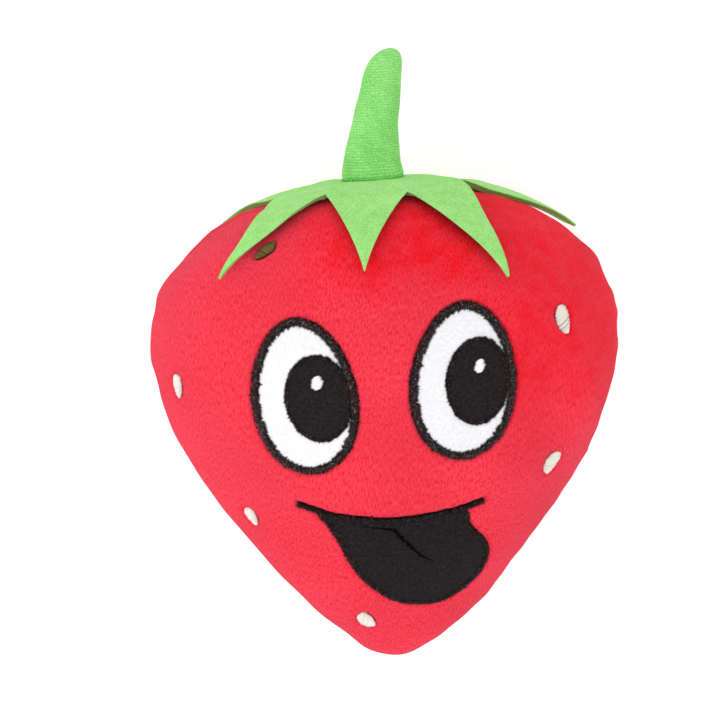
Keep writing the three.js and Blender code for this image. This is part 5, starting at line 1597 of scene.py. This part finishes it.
def thread_tube(path, out, radius):
    """A round thread along a path, six-sided, closed at both ends. out points roughly away from the toy."""
    along = unit(np.gradient(path, axis=0))
    aside = unit(np.cross(along, out))
    up = np.cross(aside, along)
    turn = np.linspace(0, 2 * np.pi, THREAD_SIDES, endpoint=False)[None, :, None]
    points = path[:, None] + radius * (np.cos(turn) * up[:, None] + np.sin(turn) * aside[:, None])
    first, last = (np.repeat(end[:, None], THREAD_SIDES, axis=1) for end in (path[:1], path[-1:]))
    points = np.concatenate([first, points, last])
    quads = grid_faces(*points.shape[:2], wrap_columns=True, flip=True)
    return points.reshape(-1, 3), quads


def seam_place(y, away, lift):
    """A place on the right side seam, and the way out there: height y, away from the seam's plane, raised
    from the plush."""
    depth = np.where(away > 0, half_depth(FACE, y), half_depth(BACK, y))
    power = np.where(away > 0, ROUND_POWER[FACE], ROUND_POWER[BACK])
    x = half_width(y) * (1 - (np.abs(away) / depth) ** power) ** (1 / power)
    probe = 0.1 * MM
    slope = (half_width(y + probe) - half_width(y - probe)) / (2 * probe)
    out = unit(np.stack([np.ones_like(slope), -slope, 0 * slope], axis=-1))
    place = np.stack([x, y, SEAM_Z + away], axis=-1)
    return place + out * (lift + seam_relief(place) + plush_lumps(place))[:, None], out


def whipped_seam():
    """Nine stitches that cross the seam's groove back and forth as half waves of a sine, half sunk in the
    pile."""
    share = np.linspace(0, 1, CLOSING_STITCHES * CLOSING_STITCH_POINTS + 1)
    y = WIDEST_Y - CLOSING_START_SHARE * CONE_LENGTH - CLOSING_LENGTH * share
    path, out = seam_place(y, CLOSING_HALF * np.sin(CLOSING_STITCHES * np.pi * share), CLOSING_LIFT)
    return mesh_piece("whipped_seam", *thread_tube(path, out, CLOSING_RADIUS))[0]


def foot_stitches():
    """Thirty slanting stitches from the felt up into the stalk's tucked-in hem."""
    tubes, walls, total = [], [], 0
    t = np.linspace(0, 1, FOOT_STITCH_POINTS)
    radius = FOOT_RING - FOOT_INWARD * t
    for number in range(FOOT_STITCHES):
        turn = 2 * np.pi * (number + 0.5 * t) / FOOT_STITCHES
        x, z = STALK_LINE[0][1] * MM + radius * np.cos(turn), radius * np.sin(turn)
        felt_top = draped(x - STAR_X, z, np.full(FOOT_STITCH_POINTS, FELT_LOW + FELT))[:, 1]
        path = np.stack([x, felt_top + FOOT_BOW * np.sin(np.pi * t) + FOOT_CLIMB * t, SEAM_Z + z], axis=-1)
        points, quads = thread_tube(path, np.tile([0.0, 1.0, 0.0], (FOOT_STITCH_POINTS, 1)), FOOT_RADIUS)
        tubes.append(points)
        walls.append(quads + total)
        total += len(points)
    return mesh_piece("foot_stitches", np.concatenate(tubes), np.concatenate(walls))[0]


def sewing_thread(name, dark, light):
    """Spun polyester sewing thread: matt, with the twist's fine ridges 0.4 mm apart."""
    made, tree = new_material(name)
    place = node(tree, "ShaderNodeTexCoord")
    twist = node(tree, "ShaderNodeTexNoise", links={
        "Vector": (place, "Object"), "Scale": 2.4 / MM, "Detail": 2.0})
    colour = node(tree, "ShaderNodeMix", {"data_type": "RGBA"}, {
        0: (twist, "Fac"), 6: srgb(dark), 7: srgb(light)})
    bump = node(tree, "ShaderNodeBump", links={
        "Height": (twist, "Fac"), "Strength": 0.6, "Distance": 0.06 * MM})
    shader = node(tree, "ShaderNodeBsdfPrincipled", links={
        "Base Color": (colour, 2), "Roughness": 0.75, "Specular IOR Level": 0.3, "Normal": (bump, 0)})
    node(tree, "ShaderNodeOutputMaterial", links={"Surface": (shader, 0)})
    return made


red_sewing = sewing_thread("red_sewing_thread", "#b81828", "#dc3444")
green_sewing = sewing_thread("green_sewing_thread", "#5cae4a", "#86d46e")
for piece, material, slot, cad_node in (
        (whipped_seam(), red_sewing, "red_thread", "closing_stitches"),
        (foot_stitches(), green_sewing, "green_thread", "stem_base_stitch")):
    piece.data.materials.append(material)
    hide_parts(cad_node)
    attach(piece, "root")
